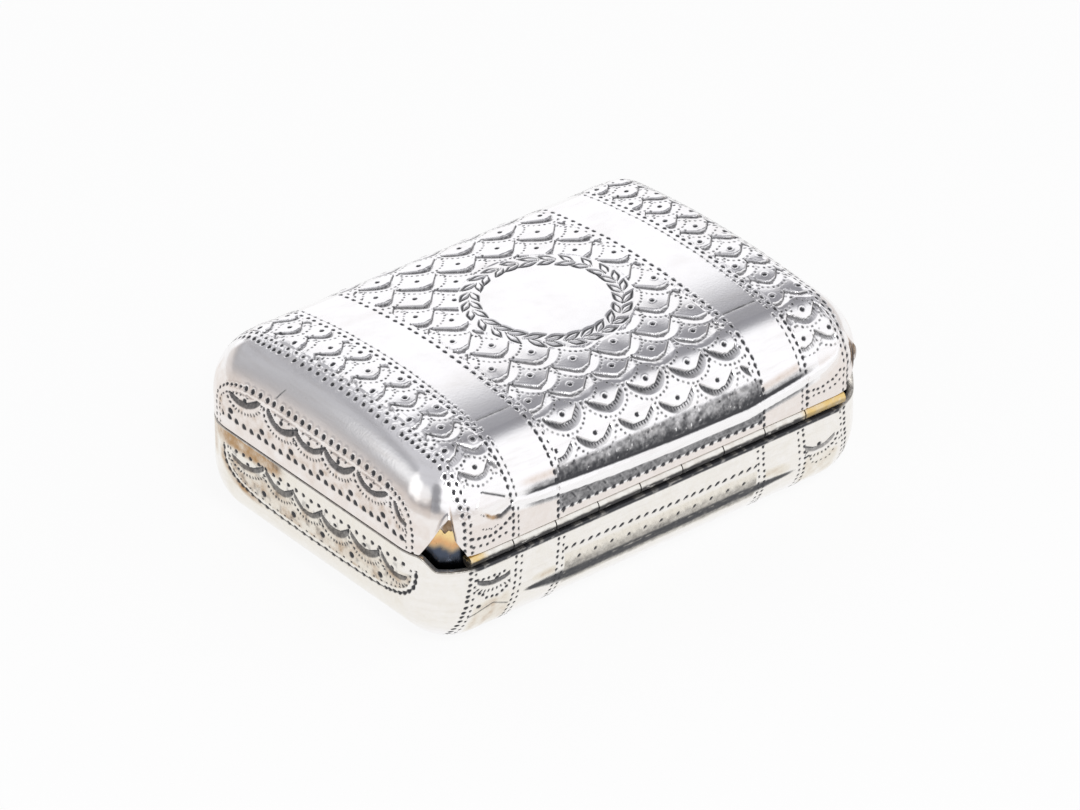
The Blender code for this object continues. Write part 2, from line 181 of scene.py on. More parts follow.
# Tent round the box: tones by the height of the direction looked in, and cards as azimuth,
# elevation, the angles off their middle where they start to fade and are gone, and tone
TENT_TONES = (
    (0.0, (0.80, 0.77, 0.75, 1)), (0.13, (0.72, 0.68, 0.66, 1)), (0.21, (0.50, 0.48, 0.48, 1)),
    (0.30, (0.45, 0.445, 0.46, 1)), (0.42, (0.52, 0.52, 0.54, 1)), (0.52, (0.50, 0.50, 0.525, 1)),
    (0.58, (0.40, 0.40, 0.425, 1)), (0.67, (0.63, 0.63, 0.66, 1)), (1.0, (0.61, 0.61, 0.64, 1)),
)
WHITE = (1.06, 1.06, 1.08, 1)
GLARE = (1.15, 1.15, 1.15, 1)
SLATE = (0.30, 0.30, 0.32, 1)
TENT_CARDS = (
    (238, 14, 28, 36, WHITE), (272, 50, 12, 18, WHITE), (60, 36, 18, 30, WHITE), (127, 34, 28, 42, WHITE),
    (331, 27, 9, 16, GLARE), (348, 27, 9, 16, GLARE), (6, 30, 8, 15, (0.92, 0.91, 0.91, 1)),
    (32, 18, 5, 11, SLATE), (32, 31, 5, 11, SLATE), (31, 44, 5, 12, SLATE),
    (201, 52, 11, 22, (0.31, 0.31, 0.335, 1)),
)

# Floor and lamp
FLOOR_HALF = 600.0
FLOOR_DROP = 0.02
FLOOR_GLOW = 0.88
LAMP_SIZE = 120.0
LAMP_POWER = 0.35
LAMP_PLACE = Vector((120.0, 260.0, 300.0))
LAMP_AIM = Vector((0.0, 0.0, 8.0))

WOBBLE = np.random.default_rng(11).uniform(-1, 1, 1024)


def wobble(number, seed):
    """A repeatable hand slip between -1 and 1 for each whole number."""
    return WOBBLE[(np.asarray(number, int) * 7 + seed * 131) % len(WOBBLE)]


def rise(value, low, high):
    """Smooth step: 0 below low, 1 above high, with no corner between."""
    share = np.clip((value - low) / (high - low), 0, 1)
    return share * share * (3 - 2 * share)


def fall(value, low, high):
    """Smooth step down: 1 below low, 0 above high."""
    return 1 - rise(value, low, high)


def between(value, start, full, fading, gone):
    """1 from full to fading, with a smooth step up from start and one down to gone."""
    return rise(value, start, full) * fall(value, fading, gone)


def bell(value, centre, half):
    """A smooth bump: 1 at centre, and gone at a distance of half on either side."""
    return fall(np.abs(value - centre), 0, half)


def speckle(a, b, pitch, seed):
    """Smooth noise between -1 and 1 over a plane: a wobble at each knot of a net, eased between."""
    a, b = np.asarray(a) / pitch, np.asarray(b) / pitch
    left, low = np.floor(a).astype(int), np.floor(b).astype(int)
    across, up = rise(a - left, 0, 1), rise(b - low, 0, 1)
    knots = [[wobble((left + i) * 37 + (low + j) * 101, seed) for i in (0, 1)] for j in (0, 1)]
    rows = [first + (second - first) * across for first, second in knots]
    return rows[0] + (rows[1] - rows[0]) * up


def clouds(a, b, pitch, seed):
    """The same noise between 0 and 1."""
    return 0.5 + 0.5 * speckle(a, b, pitch, seed)


# Shells

def lid_section():
    """Radius from the core, height and arc length: a quarter ellipse over a straight wall."""
    turn = np.linspace(0, np.pi / 2, 300)
    top = np.array([0.0])
    radius = CORNER_RADIUS - LID_SHOULDER_INSET * (1 - np.sin(turn))
    shoulder = LID_EDGE_Z + LID_WALL + LID_SHOULDER_HEIGHT * np.cos(turn)
    wall = np.linspace(LID_EDGE_Z + LID_WALL, LID_EDGE_Z, 60)[1:]
    radius = np.concatenate([top, radius, np.full(wall.size, CORNER_RADIUS)])
    height = np.concatenate([shoulder[:1], shoulder, wall])
    return radius, height, arc_length(radius, height)


def base_section():
    """Radius from the core, height and arc length: a straight wall over a quarter ellipse."""
    turn = np.linspace(0, np.pi / 2, 300)[1:]
    wall = np.linspace(BASE_RIM_Z, BASE_SHOULDER_HEIGHT, 100)
    radius = CORNER_RADIUS - BASE_SHOULDER_INSET * (1 - np.cos(turn))
    height = BASE_SHOULDER_HEIGHT * (1 - np.sin(turn))
    radius = np.concatenate([np.full(wall.size, CORNER_RADIUS), radius])
    height = np.concatenate([wall, height])
    return radius, height, arc_length(radius, height)


def arc_length(across, up):
    """Running length of a polyline."""
    return np.concatenate([[0], np.cumsum(np.hypot(np.diff(across), np.diff(up)))])


LID = lid_section()
BASE = base_section()
LID_RIM_T = LID[2][-1]


def plan(w):
    """Core point and outward direction at distance w along the outline.

    w starts in the middle of the hinge side and runs towards +X. Along a side the core point
    slides and the direction stays; round a corner the point stays and the direction turns.
    """
    runs = [CORE_X, QUARTER, 2 * CORE_Y, QUARTER, 2 * CORE_X, QUARTER, 2 * CORE_Y, QUARTER, CORE_X]
    marks = np.concatenate([[0], np.cumsum(runs)])
    side_x = np.array([0, 1, 1, 1, 1, -1, -1, -1, -1, 0]) * CORE_X
    side_y = np.array([1, 1, 1, -1, -1, -1, -1, 1, 1, 1]) * CORE_Y
    turns = np.array([0, 0, 1, 1, 2, 2, 3, 3, 4, 4]) * np.pi / 2
    w = np.mod(w, marks[-1])
    angle = np.interp(w, marks, turns)
    return np.interp(w, marks, side_x), np.interp(w, marks, side_y), np.sin(angle), np.cos(angle)


def outline_length():
    """Length of the outline round the box."""
    return 4 * (CORE_X + CORE_Y + QUARTER)


def end_place(w):
    """Distance from the middle of an end, measured round its corners, the same way round on both."""
    core_x, core_y, out_x, out_y = plan(w)
    turned = np.arctan2(np.abs(out_y), np.abs(out_x)) * CORNER_RADIUS
    place = np.where(np.abs(out_y) > 1e-6, np.sign(core_y) * (CORE_Y + turned), core_y)
    return place * np.sign(core_x + 1e-9)


def crown(radius, y):
    """Height of the lid's crown: full on the core and fading over the shoulder, a parabola in y."""
    fade = np.clip((CORNER_RADIUS - radius) / LID_SHOULDER_INSET, 0, 1)
    return LID_CROWN * fade * (1 - (y / LID_HIGH[1]) ** 2)


def crown_arc(y):
    """Arc length over the crown from the middle line to y."""
    steps = np.linspace(0, LID_HIGH[1], 400)
    slope = 2 * LID_CROWN * steps / LID_HIGH[1] ** 2
    length = np.concatenate([[0], np.cumsum(np.sqrt(1 + slope[1:] ** 2) * np.diff(steps))])
    return np.sign(y) * np.interp(np.abs(y), steps, length)


CORE_S = float(crown_arc(CORE_Y))


def shell_points(section, w, t, crowned):
    """Points and outward normals of a shell at outline distance w and arc length t."""
    core_x, core_y, out_x, out_y = plan(w)
    radius = np.interp(t, section[2], section[0])
    height = np.interp(t, section[2], section[1])
    step = 0.01
    radius_slope = np.interp(t + step, section[2], section[0]) - np.interp(t - step, section[2], section[0])
    height_slope = np.interp(t + step, section[2], section[1]) - np.interp(t - step, section[2], section[1])
    x = core_x + radius * out_x
    y = core_y + radius * out_y
    along_y = np.zeros_like(x)
    if crowned:
        height = height + crown(radius, y)
        fade = np.clip((CORNER_RADIUS - radius) / LID_SHOULDER_INSET, 0, 1)
        along_y = -2 * LID_CROWN * fade * y / LID_HIGH[1] ** 2
        fading = -LID_CROWN / LID_SHOULDER_INSET * (1 - (y / LID_HIGH[1]) ** 2) * (radius > 0.5)
        height_slope = height_slope + radius_slope * (fading + along_y * out_y)
    round_x, round_y = out_y, -out_x
    around = np.stack([round_x, round_y, along_y * round_y], -1)
    down = np.stack([radius_slope * out_x, radius_slope * out_y, height_slope], -1)
    normal = np.cross(around, down)
    normal /= np.linalg.norm(normal, axis=-1, keepdims=True)
    return np.stack([x, y, height], -1), normal


def notch_place(w):
    """Place across the relief as a share of its width, seen along its facing; far off elsewhere."""
    core_x, core_y, out_x, out_y = plan(w)
    across = CORNER_RADIUS * (np.abs(out_x) * -np.sin(NOTCH_FACING) + out_y * np.cos(NOTCH_FACING))
    towards = np.abs(out_x) * np.cos(NOTCH_FACING) + out_y * np.sin(NOTCH_FACING)
    corner = (np.abs(core_x) > CORE_X - 1e-6) & (core_y > CORE_Y - 1e-6) & (towards > 0.5)
    return np.where(corner, across / NOTCH_WIDTH, 9.0)


def notch_rise(w):
    """How far the lid's edge is cut up at outline distance w, at both hinge corners."""
    share = np.interp(notch_place(w), NOTCH_PLACE_SHARES, NOTCH_RISE_SHARES, left=0, right=0)
    return NOTCH_HEIGHT * share


def base_rim(w):
    """Height of the base's rim: level, but lower along the hinge with a short ramp to each side."""
    core_x, core_y, out_x, out_y = plan(w)
    x = np.abs(core_x + CORNER_RADIUS * out_x)
    drop = fall(x, BASE_DIP_FROM, BASE_DIP_TO) * (core_y > 0) * (out_y > 0)
    return BASE_RIM_Z - (BASE_RIM_Z - BASE_HINGE_RIM_Z) * drop


# Meshes

def grid_triangles(rows, columns):
    """Two triangles for each cell of a grid of points, turned from column step to row step."""
    corner = np.arange(rows * columns).reshape(rows, columns)
    here, beside = corner[:-1, :-1].ravel(), corner[:-1, 1:].ravel()
    below, across = corner[1:, :-1].ravel(), corner[1:, 1:].ravel()
    return np.concatenate([np.stack([here, beside, across], 1), np.stack([here, across, below], 1)])


def join_parts(parts):
    """Points, triangles and attributes of several surfaces as one."""
    points, triangles, values, start = [], [], {}, 0
    for part_points, part_triangles, part_values in parts:
        points.append(part_points.reshape(-1, 3))
        triangles.append(part_triangles + start)
        start += points[-1].shape[0]
        for name in ("tarnish", "warmth"):
            found = np.ravel(part_values.get(name, 0.0))
            values.setdefault(name, []).append(np.broadcast_to(found, points[-1].shape[0]))
    whole = {name: np.concatenate(found) for name, found in values.items()}
    return np.concatenate(points), np.concatenate(triangles), whole


def make_piece(name, parts, body, material, replaced):
    """A smooth mesh from surfaces, with points that coincide welded and slivers left out."""
    points, triangles, values = join_parts(parts)
    keys = np.round(points * WELD_KEYS).astype(np.int64)
    _, first, weld = np.unique(keys, axis=0, return_index=True, return_inverse=True)
    weld = weld.ravel()
    points = points[first]
    triangles = weld[triangles]
    whole = (triangles[:, 0] != triangles[:, 1]) & (triangles[:, 1] != triangles[:, 2])
    triangles = triangles[whole & (triangles[:, 2] != triangles[:, 0])]
    mesh = bpy.data.meshes.new(name)
    mesh.vertices.add(len(points))
    mesh.vertices.foreach_set("co", (points * MM).astype(np.float32).ravel())
    mesh.loops.add(triangles.size)
    mesh.loops.foreach_set("vertex_index", triangles.astype(np.int32).ravel())
    mesh.polygons.add(len(triangles))
    mesh.polygons.foreach_set("loop_start", np.arange(0, triangles.size, 3, dtype=np.int32))
    mesh.polygons.foreach_set("use_smooth", np.ones(len(triangles), bool))
    mesh.update(calc_edges=True)
    for label, numbers in values.items():
        layer = mesh.attributes.new(label, "FLOAT", "POINT")
        layer.data.foreach_set("value", numbers[first].astype(np.float32))
    mesh.materials.append(material)
    piece = bpy.data.objects.new(name, mesh)
    bpy.context.scene.collection.objects.link(piece)
    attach(piece, body)
    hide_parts(*replaced)


# Graver's marks

ALL = slice(None)


class Engraving:
    """Height over the plain shell, and darkening and warm tint at the points of one skin. The darkening is
    tarnish in the cuts, and in marked places painted shade and painted dark reflection; the warm tint is
    stains, and in marked places painted warm reflection.
    """

    def __init__(self, count):
        self.height = np.zeros(count)
        self.tarnish = np.zeros(count)
        self.warmth = np.zeros(count)

    def cut(self, near, shape, depth, dark):
        """Lower the points near by shape times depth, and darken them where the shape is deep."""
        self.height[near] -= shape * depth
        self.add_tarnish_and_shade(near, shape, dark)

    def add_tarnish_and_shade(self, near, shape, dark):
        """Darken the points near, never less than they are: tarnish, and in the places marked so, painted
        shade and painted dark reflection.
        """
        self.tarnish[near] = np.maximum(self.tarnish[near], np.clip(shape, 0, 1) * dark)

    def warm(self, near, shape, amount):
        """Tint the points near towards cream and brown, never less than they are: stains, and in the places
        marked so, painted warm reflection.
        """
        self.warmth[near] = np.maximum(self.warmth[near], np.clip(shape, 0, 1) * amount)

    def clear(self, near, shape):
        """Wipe the darkening and the warm tint off."""
        self.tarnish[near] *= 1 - shape
        self.warmth[near] *= 1 - shape

    def values(self):
        return {"tarnish": self.tarnish, "warmth": self.warmth}

    def raised(self, points, normal):
        """The skin's points moved out along their normals by the height."""
        return points + normal * self.height.reshape(points.shape[:-1])[..., None]


def punch(work, near, u, v, size, depth, dark, taper=0.0):
    """Dots punched at u, v from their middles: ellipses, drawn to one end by taper, with a burr."""
    length, width = size
    narrow = np.clip(1 - taper * 2 * u / length, 0.25, 2)
    reach = np.sqrt((2 * u / length) ** 2 + (2 * v / (width * narrow)) ** 2)
    work.cut(near, fall(reach, 0.2, 1.1), depth, 0.0)
    work.add_tarnish_and_shade(near, fall(reach, 0.72, 1.2), dark)
    work.height[near] += 0.02 * bell(reach, 1.35, 0.45)


def punched_line(work, number, pitch, across, size, depth, dark, inside=True, seed=0, taper=0.35, lean=0.0):
    """A row of punched dots, one at each whole number along it. The pitch is in millimetres."""
    near = np.flatnonzero((np.abs(across) < 0.8 * (size[1] + lean)) & inside)
    step = np.broadcast_to(pitch, across.shape)[near]
    whole = np.round(number[near])
    u = (number[near] - whole) * step + 0.05 * wobble(whole, seed)
    v = across[near] + 0.03 * wobble(whole, seed + 3)
    punch(work, near, u + lean * v, v - lean * u, size, depth, dark, taper)


def engraved_line(work, across, width, depth, dark):
    """A straight graver's cut of a soft V section."""
    near = np.flatnonzero(np.abs(across) < width)
    work.cut(near, bell(across[near], 0, width / 2), depth, dark)


def dot_row(work, a, b, corners, pitch, size, dark, inside=True, seed=0):
    """Round dots at an even pitch along a polyline of places."""
    corners = np.array(corners, float)
    length = arc_length(corners[:, 0], corners[:, 1])
    for number, place in enumerate(np.arange(0, length[-1] + 1e-6, pitch)):
        a0 = np.interp(place, length, corners[:, 0]) + 0.04 * wobble(number, seed)
        b0 = np.interp(place, length, corners[:, 1]) + 0.04 * wobble(number, seed + 1)
        near = np.flatnonzero((np.abs(a - a0) < size) & (np.abs(b - b0) < size) & inside)
        punch(work, near, a[near] - a0, b[near] - b0, (size, 0.85 * size), 0.05, dark)


def fish_scale(work, a, b, place, half, tongue, reach, drop, grime_and_shade=0.2, teeth=0.0, ticks=False, tilt=0.0,
               cut=0.14, seed=0, inside=True):
    """One scale on the coordinates a and b, with its dot at place and its tip towards higher b.

    A chord lies drop above the dot. From it the tongue's edge is a polyline of three facets that
    goes tongue deep, and the crescent's outer edge is a half ellipse that goes reach deep. The
    crescent's floor climbs from the full cut at the tongue to nothing at its outer edge.
    """
    size = 1.3 * half + 0.5
    near = np.flatnonzero((np.abs(a - place[0]) < size) & (np.abs(b - place[1]) < size + reach) & inside)
    if not near.size:
        return
    along, down = a[near] - place[0], b[near] - place[1]
    u = along * np.cos(tilt) + down * np.sin(tilt)
    v = down * np.cos(tilt) - along * np.sin(tilt) + drop
    slips = wobble(np.arange(5) + seed * 5, 2)
    places = half * (TONGUE_PLACES + 0.04 * slips * (np.abs(TONGUE_PLACES) < 1))
    depths = tongue * (TONGUE_DEPTHS + 0.06 * slips)
    edge = np.interp(u, places, depths)
    slope = (np.interp(u + 0.01, places, depths) - np.interp(u - 0.01, places, depths)) / 0.02
    steep = np.sqrt(1 + slope ** 2)
    past = (v - edge) / steep
    outer_half = 1.04 * half
    outer = reach * np.sqrt(np.clip(1 - (u / outer_half) ** 2, 0, 1))
    share = np.clip(past / np.maximum((outer - edge) / steep, 0.12), 0, 1)
    below = (v > -0.04) & (np.abs(u) < half)
    carve_crescent(work, near, u / half, past, share, below & (v < outer), grime_and_shade, teeth, cut, ticks)
    pillow = bell(u / half, 0, 1.25) * bell(v, -0.1, 1.7 * tongue) * rise(-past, -0.03, 0.03)
    work.height[near] += 0.055 * pillow * (np.abs(u) < half)
    # The dark line along the tongue's edge is the cut's own dark, widened to the right by painted shade.
    heavy = rise(u / half, -0.4, 0.8)
    line = bell(past, 0.03, 0.09 + 0.07 * heavy) * below
    work.cut(near, line, 0.02, 0.85 + 0.12 * float(ticks))
    lip = bell(past, -0.09, 0.1) * (v > 0.1) * (np.abs(u) < 0.95 * half)
    work.clear(near, lip)
    rim = bell(share, 1.0, 0.3) * (v > 0.2 * reach) * (np.abs(u) < 0.85 * half) * (v < outer + 0.1)
    work.clear(near, 0.8 * rim)
    punch(work, near, u, v - drop, (0.42, 0.34), 0.09, 0.95)
    fringe(work, near, u, v, outer_half, reach, ticks, seed)


def carve_crescent(work, near, u_share, past, share, below, grime_and_shade, teeth, cut, even):
    """The dished crescent: deepest under the tongue's tip, where its two facets meet, and stained with
    tarnish in the cut and painted shade, which fades to the outer edge and is darker in its right limb
    unless it is even, with a comb of short ticks along the tongue."""
    floor = rise(past, -0.05, 0.05) * (1 - share) * (1 - 0.5 * np.abs(u_share)) * below
    work.cut(near, floor, 1.35 * cut, 0.0)
    limb = 1.0 if even else 0.35 + 0.15 * teeth + 0.5 * rise(u_share, -0.15, 0.6)
    fading = 0.75 if even else 0.35 + 0.35 * teeth
    shade = rise(past, -0.03, 0.06) * fall(share, fading, 1.02) * below
    work.add_tarnish_and_shade(near, shade * limb, grime_and_shade)
    if teeth:
        comb = 0.35 + 0.65 * rise(np.cos(u_share * 2 * np.pi * 6.5 + past), -0.4, 0.7)
        band = between(past, -0.02, 0.05, 0.18, 0.46) * below
        work.cut(near, comb * band, 0.02, teeth)


def fringe(work, near, u, v, half, reach, ticks, seed):
    """Prick dots outside the crescent, or radiating ticks under it with round dots up one arm."""
    turns = np.linspace(0, np.pi, 60)
    around = arc_length(-half * np.cos(turns), reach * np.sin(turns))
    rim = np.sqrt((u / half) ** 2 + (v / reach) ** 2) + 1e-6
    slope = np.hypot(u / half ** 2, v / reach ** 2) / rim
    across = (rim - 1) / slope
    turn = np.pi - np.arctan2(v / reach, u / half)
    along = np.interp(turn, turns, around) - around[-1] / 2
    lower = (v > -0.05) & (across > -0.1) & (across < 0.7)
    keep = np.flatnonzero(lower)
    here, along, across = near[keep], along[keep], across[keep]
    if not ticks:
        number = np.round(along / PRICK_PITCH)
        shade = 0.78 + 0.22 * wobble(number + seed, 4)
        off = across - 0.24 - 0.03 * wobble(number + seed, 5)
        prick = np.hypot(along - number * PRICK_PITCH, off) / 0.1
        work.cut(here, fall(prick, 0.3, 1.2), 0.03, 0.0)
        work.add_tarnish_and_shade(here, fall(prick, 0.7, 1.35) * shade, 0.92)
        return
    middle = (along > -0.5 * half) & (along < 0.9 * half)
    number = np.round(along / TICK_PITCH)
    tick = np.hypot((along - number * TICK_PITCH) / 0.075, (across - 0.3) / 0.16)
    work.cut(here, fall(tick, 0.5, 1.2) * middle, 0.04, 0.9)
    number = np.round(along / ARM_PITCH)
    dot = np.hypot(along - number * ARM_PITCH, across - 0.26) / 0.13
    work.cut(here, fall(dot, 0.6, 1.2) * (along < -0.45 * half), 0.05, 0.95)


def arch_place(y, up, arch):
    """Signed length along an arched border from its middle, and distance outside it.

    The border is half a superellipse, and under its centre line it goes straight down.
    """
    half, height, power, _ = arch
    even = np.linspace(0, 1, 300) ** (power / 2)
    turn = np.sort(np.concatenate([np.arccos(even), np.arcsin(even)]))
    curve = arc_length(half * np.cos(turn) ** (2 / power), height * np.sin(turn) ** (2 / power))
    side = np.abs(y) / half
    lift = np.maximum(up, 0) / height
    scale = (side ** power + lift ** power) ** (1 / power) + 1e-6
    steep_y = (side / scale) ** (power - 1) / half
    steep_up = (lift / scale) ** (power - 1) / height
    slope = np.hypot(steep_y, steep_up) + 1e-6
    across = (scale - 1) / slope
    foot_side = np.maximum(side - across * steep_y / slope / half, 0)
    foot_lift = np.maximum(lift - across * steep_up / slope / height, 0)
    spot = np.arctan2(foot_lift ** (power / 2), foot_side ** (power / 2) + 1e-9)
    from_foot = np.interp(spot, turn, curve) + np.minimum(up, 0)
    return np.sign(y) * (curve[-1] - from_foot), across


def arch_numbers(place, straight, wide, tight):
    """Dot numbers and pitch along an arch: a wide pitch over its middle and a tight one past it."""
    length = np.abs(place)
    number = np.minimum(length, straight) / wide + np.maximum(length - straight, 0) / tight
    return np.sign(place) * number, np.where(length < straight, wide, tight)


# Pattern on the lid

def scale_rows(work, x, s, inside):
    """Rows of scales over the lid, each row set half a pitch aside from the one before."""
    for row in range(1, 15):
        s0 = FIRST_ROW + row * ROW_PITCH
        past = max(abs(s0) - 9.5, 0)
        s0 = np.sign(s0) * (abs(s0) - 0.12 * past)
        turned = float(rise(abs(s0), 7.5, 11.4))
        shift = (0.8 if row % 2 == 0 else -0.95) + 0.6 * float(rise(s0, 9.3, 13.2))
        low = float(rise(s0, 8.0, 11.5))
        for step in range(-4, 5):
            x0 = shift + step * SCALE_PITCH
            if abs(x0) > PANEL_HALF + 1.2:
                continue
            seed = row * 17 + step
            place = (x0 + 0.12 * wobble(seed, 8), s0 + 0.08 * wobble(seed, 9))
            # On the hinge side the lower rows get darker crescents and ticks: painted shade over the tarnish
            # in the cuts.
            fish_scale(work, x, s, place, 1.8 - 0.26 * turned, 1.32 - 0.5 * turned, 2.0 - 0.58 * turned,
                       0.2 + 0.06 * turned, 0.15 + 0.6 * low, 0.9 * low, cut=0.14 + 0.03 * low, seed=seed,
                       inside=inside)


def band_scales(work, x, s, side, inside):
    """The narrow rows between the plain band and the corner line: one scale, then two."""
    singles, pairs = LEFT_BAND_ROWS if side > 0 else RIGHT_BAND_ROWS
    for rows, places in ((singles, (15.1, 12.65, 17.6)), (pairs, (13.95, 16.35))):
        for number, s0 in enumerate(rows):
            turned = float(rise(abs(s0), 9.0, 12.0))
            for index, x0 in enumerate(places):
                seed = number * 5 + index + 60 * (side > 0) + 30 * len(places)
                place = (side * x0, s0 + 0.06 * wobble(seed, 9))
                # On the hinge side the turned-down rows get darker crescents: painted shade over the tarnish
                # in the cuts.
                fish_scale(work, x, s, place, 1.3, 0.95 - 0.15 * turned, 1.5 - 0.3 * turned, 0.22,
                           0.2 + 0.45 * turned * (s0 > 0), 0.6 * turned, cut=0.12, seed=seed, inside=inside)


def wreath(work, x, s):
    """A ring of leaf pairs round the cartouche, each leaf an outlined point with a dark tip."""
    x, s = x - WREATH_X, s - WREATH_S
    radius = np.hypot(x, s)
    near = np.flatnonzero(np.abs(radius - WREATH_RADIUS) < 1.3)
    angle = np.arctan2(s[near], x[near])
    radius = radius[near]
    part = 2 * np.pi / LEAF_COUNT
    for side in (-1, 1):
        for neighbour in (-1, 0, 1):
            number = np.round(angle / part) + neighbour
            centre = number * part + 0.03 * wobble(number + 40, 4 + side)
            along = radius * np.sin(angle - centre)
            across = radius * np.cos(angle - centre) - WREATH_RADIUS - side * 0.36
            lean = side * (0.42 + 0.12 * wobble(number + 40, 6 + side))
            a = along * np.cos(lean) + across * np.sin(lean)
            b = across * np.cos(lean) - along * np.sin(lean)
            size = LEAF_HALF_LENGTH * (1 + 0.14 * wobble(number + 40, 9 + side))
            half = LEAF_HALF_WIDTH * (1 - np.clip(np.abs(a) / size, 0, 1) ** 1.5) + 1e-3
            reach = np.abs(b) / half
            tip = rise(a / size, -0.1, 0.6)
            lower = 0.35 * rise(b * side, -0.1, 0.1)
            ring = bell(reach, 1.0 - 0.35 * tip, 0.45 + 0.6 * tip + lower) * (np.abs(a) < size)
            work.cut(near, ring, 0.07, 0.97)
            work.height[near] += 0.04 * fall(reach, 0.0, 0.8) * (np.abs(a) < size)


def long_borders(work, x, s, edge):
    """Double punched lines beside both plain bands and along the corners, these at the distance
    edge from the middle. The dots stand closer down the sides than on top."""
    panel, panel_pitch = arch_numbers(s, CORE_S + 0.8, 0.8, 0.58)
    band, band_pitch = arch_numbers(s, CORE_S + 0.8, 0.72, 0.52)
    corner, corner_pitch = arch_numbers(s, 7.0, 0.86, 0.6)
    for side in (-1, 1):
        panel_off, band_off = side * x - PANEL_HALF, side * x - BAND_OUTER
        corner_off = side * x - edge - 0.05 * speckle(s, s * 0, 0.6, 17 + side)
        engraved_line(work, band_off, 0.1, 0.015, 0.5)
        for number, pitch, across, size, depth, dark, seed in (
            (panel, panel_pitch, panel_off, (0.46, 0.28), 0.08, 0.95, 1),
            (panel + 0.5, panel_pitch, panel_off + 0.44, (0.28, 0.2), 0.05, 0.85, 5),
            (band, band_pitch, band_off, (0.34, 0.19), 0.05, 0.85, 9),
            (band + 0.4, band_pitch, band_off - 0.45, (0.4, 0.28), 0.07, 0.95, 13),
            (corner, corner_pitch, corner_off, (0.38, 0.3), 0.08, 0.93, 17),
            (corner + 0.5, corner_pitch, corner_off + 0.45, (0.34, 0.24), 0.06, 0.9, 21),
        ):
            punched_line(work, number, pitch, across, size, depth, dark, seed=seed + side)


def carve_lid(work, x, s, t_share):
    """The pattern on the lid's top, and on its long sides down to the bead."""
    edge = CORNER_LINE_TOP + (CORNER_LINE_RIM - CORNER_LINE_TOP) * t_share
    panel = np.abs(x) < PANEL_HALF - 0.55
    open_ground = np.hypot(x - WREATH_X, s - WREATH_S) > WREATH_CLEAR
    scale_rows(work, x, s, panel & open_ground)
    for side in (-1, 1):
        band = (side * x > BAND_OUTER + 0.65) & (side * x < edge - 0.65)
        band_scales(work, x, s, side, band & (np.abs(s) < CORE_S + 4.4))
    wreath(work, x, s)
    long_borders(work, x, s, edge)
    plain = (np.abs(x) > PANEL_HALF + 0.25) & (np.abs(x) < BAND_OUTER - 0.25)
    # A dark line along both plain bands where the crown meets the shoulder: a painted dark reflection in a
    # faint groove.
    crease = bell(s, CORE_S - 0.8, 0.22) * plain * (0.85 + 0.15 * speckle(x, s, 0.7, 25))
    work.cut(ALL, crease, 0.015, 0.85)


def carve_bead(work, x, t, flip):
    """The raised bead along a long wall, with painted dark reflection over it (a black crease, dark ground
    in the panel and dark bands beside it under a peach painted reflection) and painted grey shade under it.
    """
    x = x * flip
    centre = np.interp(x, BEAD_X, BEAD_T)
    half = np.interp(x, BEAD_X, BEAD_HALF, left=0.0, right=0.0) + 1e-3
    across = (t - centre) / half
    top, foot = centre - half, centre + half
    panel = np.abs(x) < PANEL_HALF - 0.1
    ends = between(x, -15.0, -12.0, 11.0, 13.0)
    beside = ends * ~panel
    mottle = 0.6 * speckle(x, t, 0.33, 31) + 0.4 * speckle(x, t, 0.15, 32)
    # Above the bead in the panel: painted dark reflection, darker towards the bead, with cleared flecks
    # standing for painted glints.
    ground = between(t, 4.2, 4.6, top - 0.02, top + 0.04) * panel
    deep = rise(t, top - 1.3, top - 0.1)
    work.add_tarnish_and_shade(ALL, ground * (0.6 + 0.3 * deep + 0.22 * mottle), 1.0)
    work.height += ground * 0.025 * mottle
    work.clear(ALL, 0.8 * rise(speckle(x, t, 0.17, 35), 0.72, 0.95) * ground)
    # Beside the panel: a band of painted dark reflection over the bead, and a peach painted reflection above
    # it.
    over = between(t, top - 0.9, top - 0.15, top, top + 0.06) * beside
    work.add_tarnish_and_shade(ALL, over * (0.85 + 0.15 * speckle(x * 0.2, t, 0.12, 33)), 0.8)
    work.warm(ALL, bell(t, top - 0.85, 0.5) * beside * (np.abs(x) < BAND_OUTER), 0.45)
    # A real crease over the bead, painted black as a dark reflection.
    thick = 0.08 + 0.16 * fall(x, -8.0, 9.0) * ends
    crease = rise(t, top - thick - 0.3, top - thick * 0.5) * ends * (t < top + 0.3)
    work.cut(ALL, crease * (np.abs(x) < 14.5), 0.03, 0.97)
    # Beside the panel: painted grey shade under the bead.
    under = between(t, foot - 0.06, foot + 0.04, foot + 0.1, foot + 0.6) * beside
    work.add_tarnish_and_shade(ALL, under, 0.66)
    bulge = np.clip(1 - across ** 2, 0, 1)
    work.height += BEAD_HEIGHT * bulge ** 0.7 * np.minimum(half / 0.35, 1)
    work.clear(ALL, rise(1 - np.abs(across), -0.02, 0.3))
    return x, centre, foot, panel


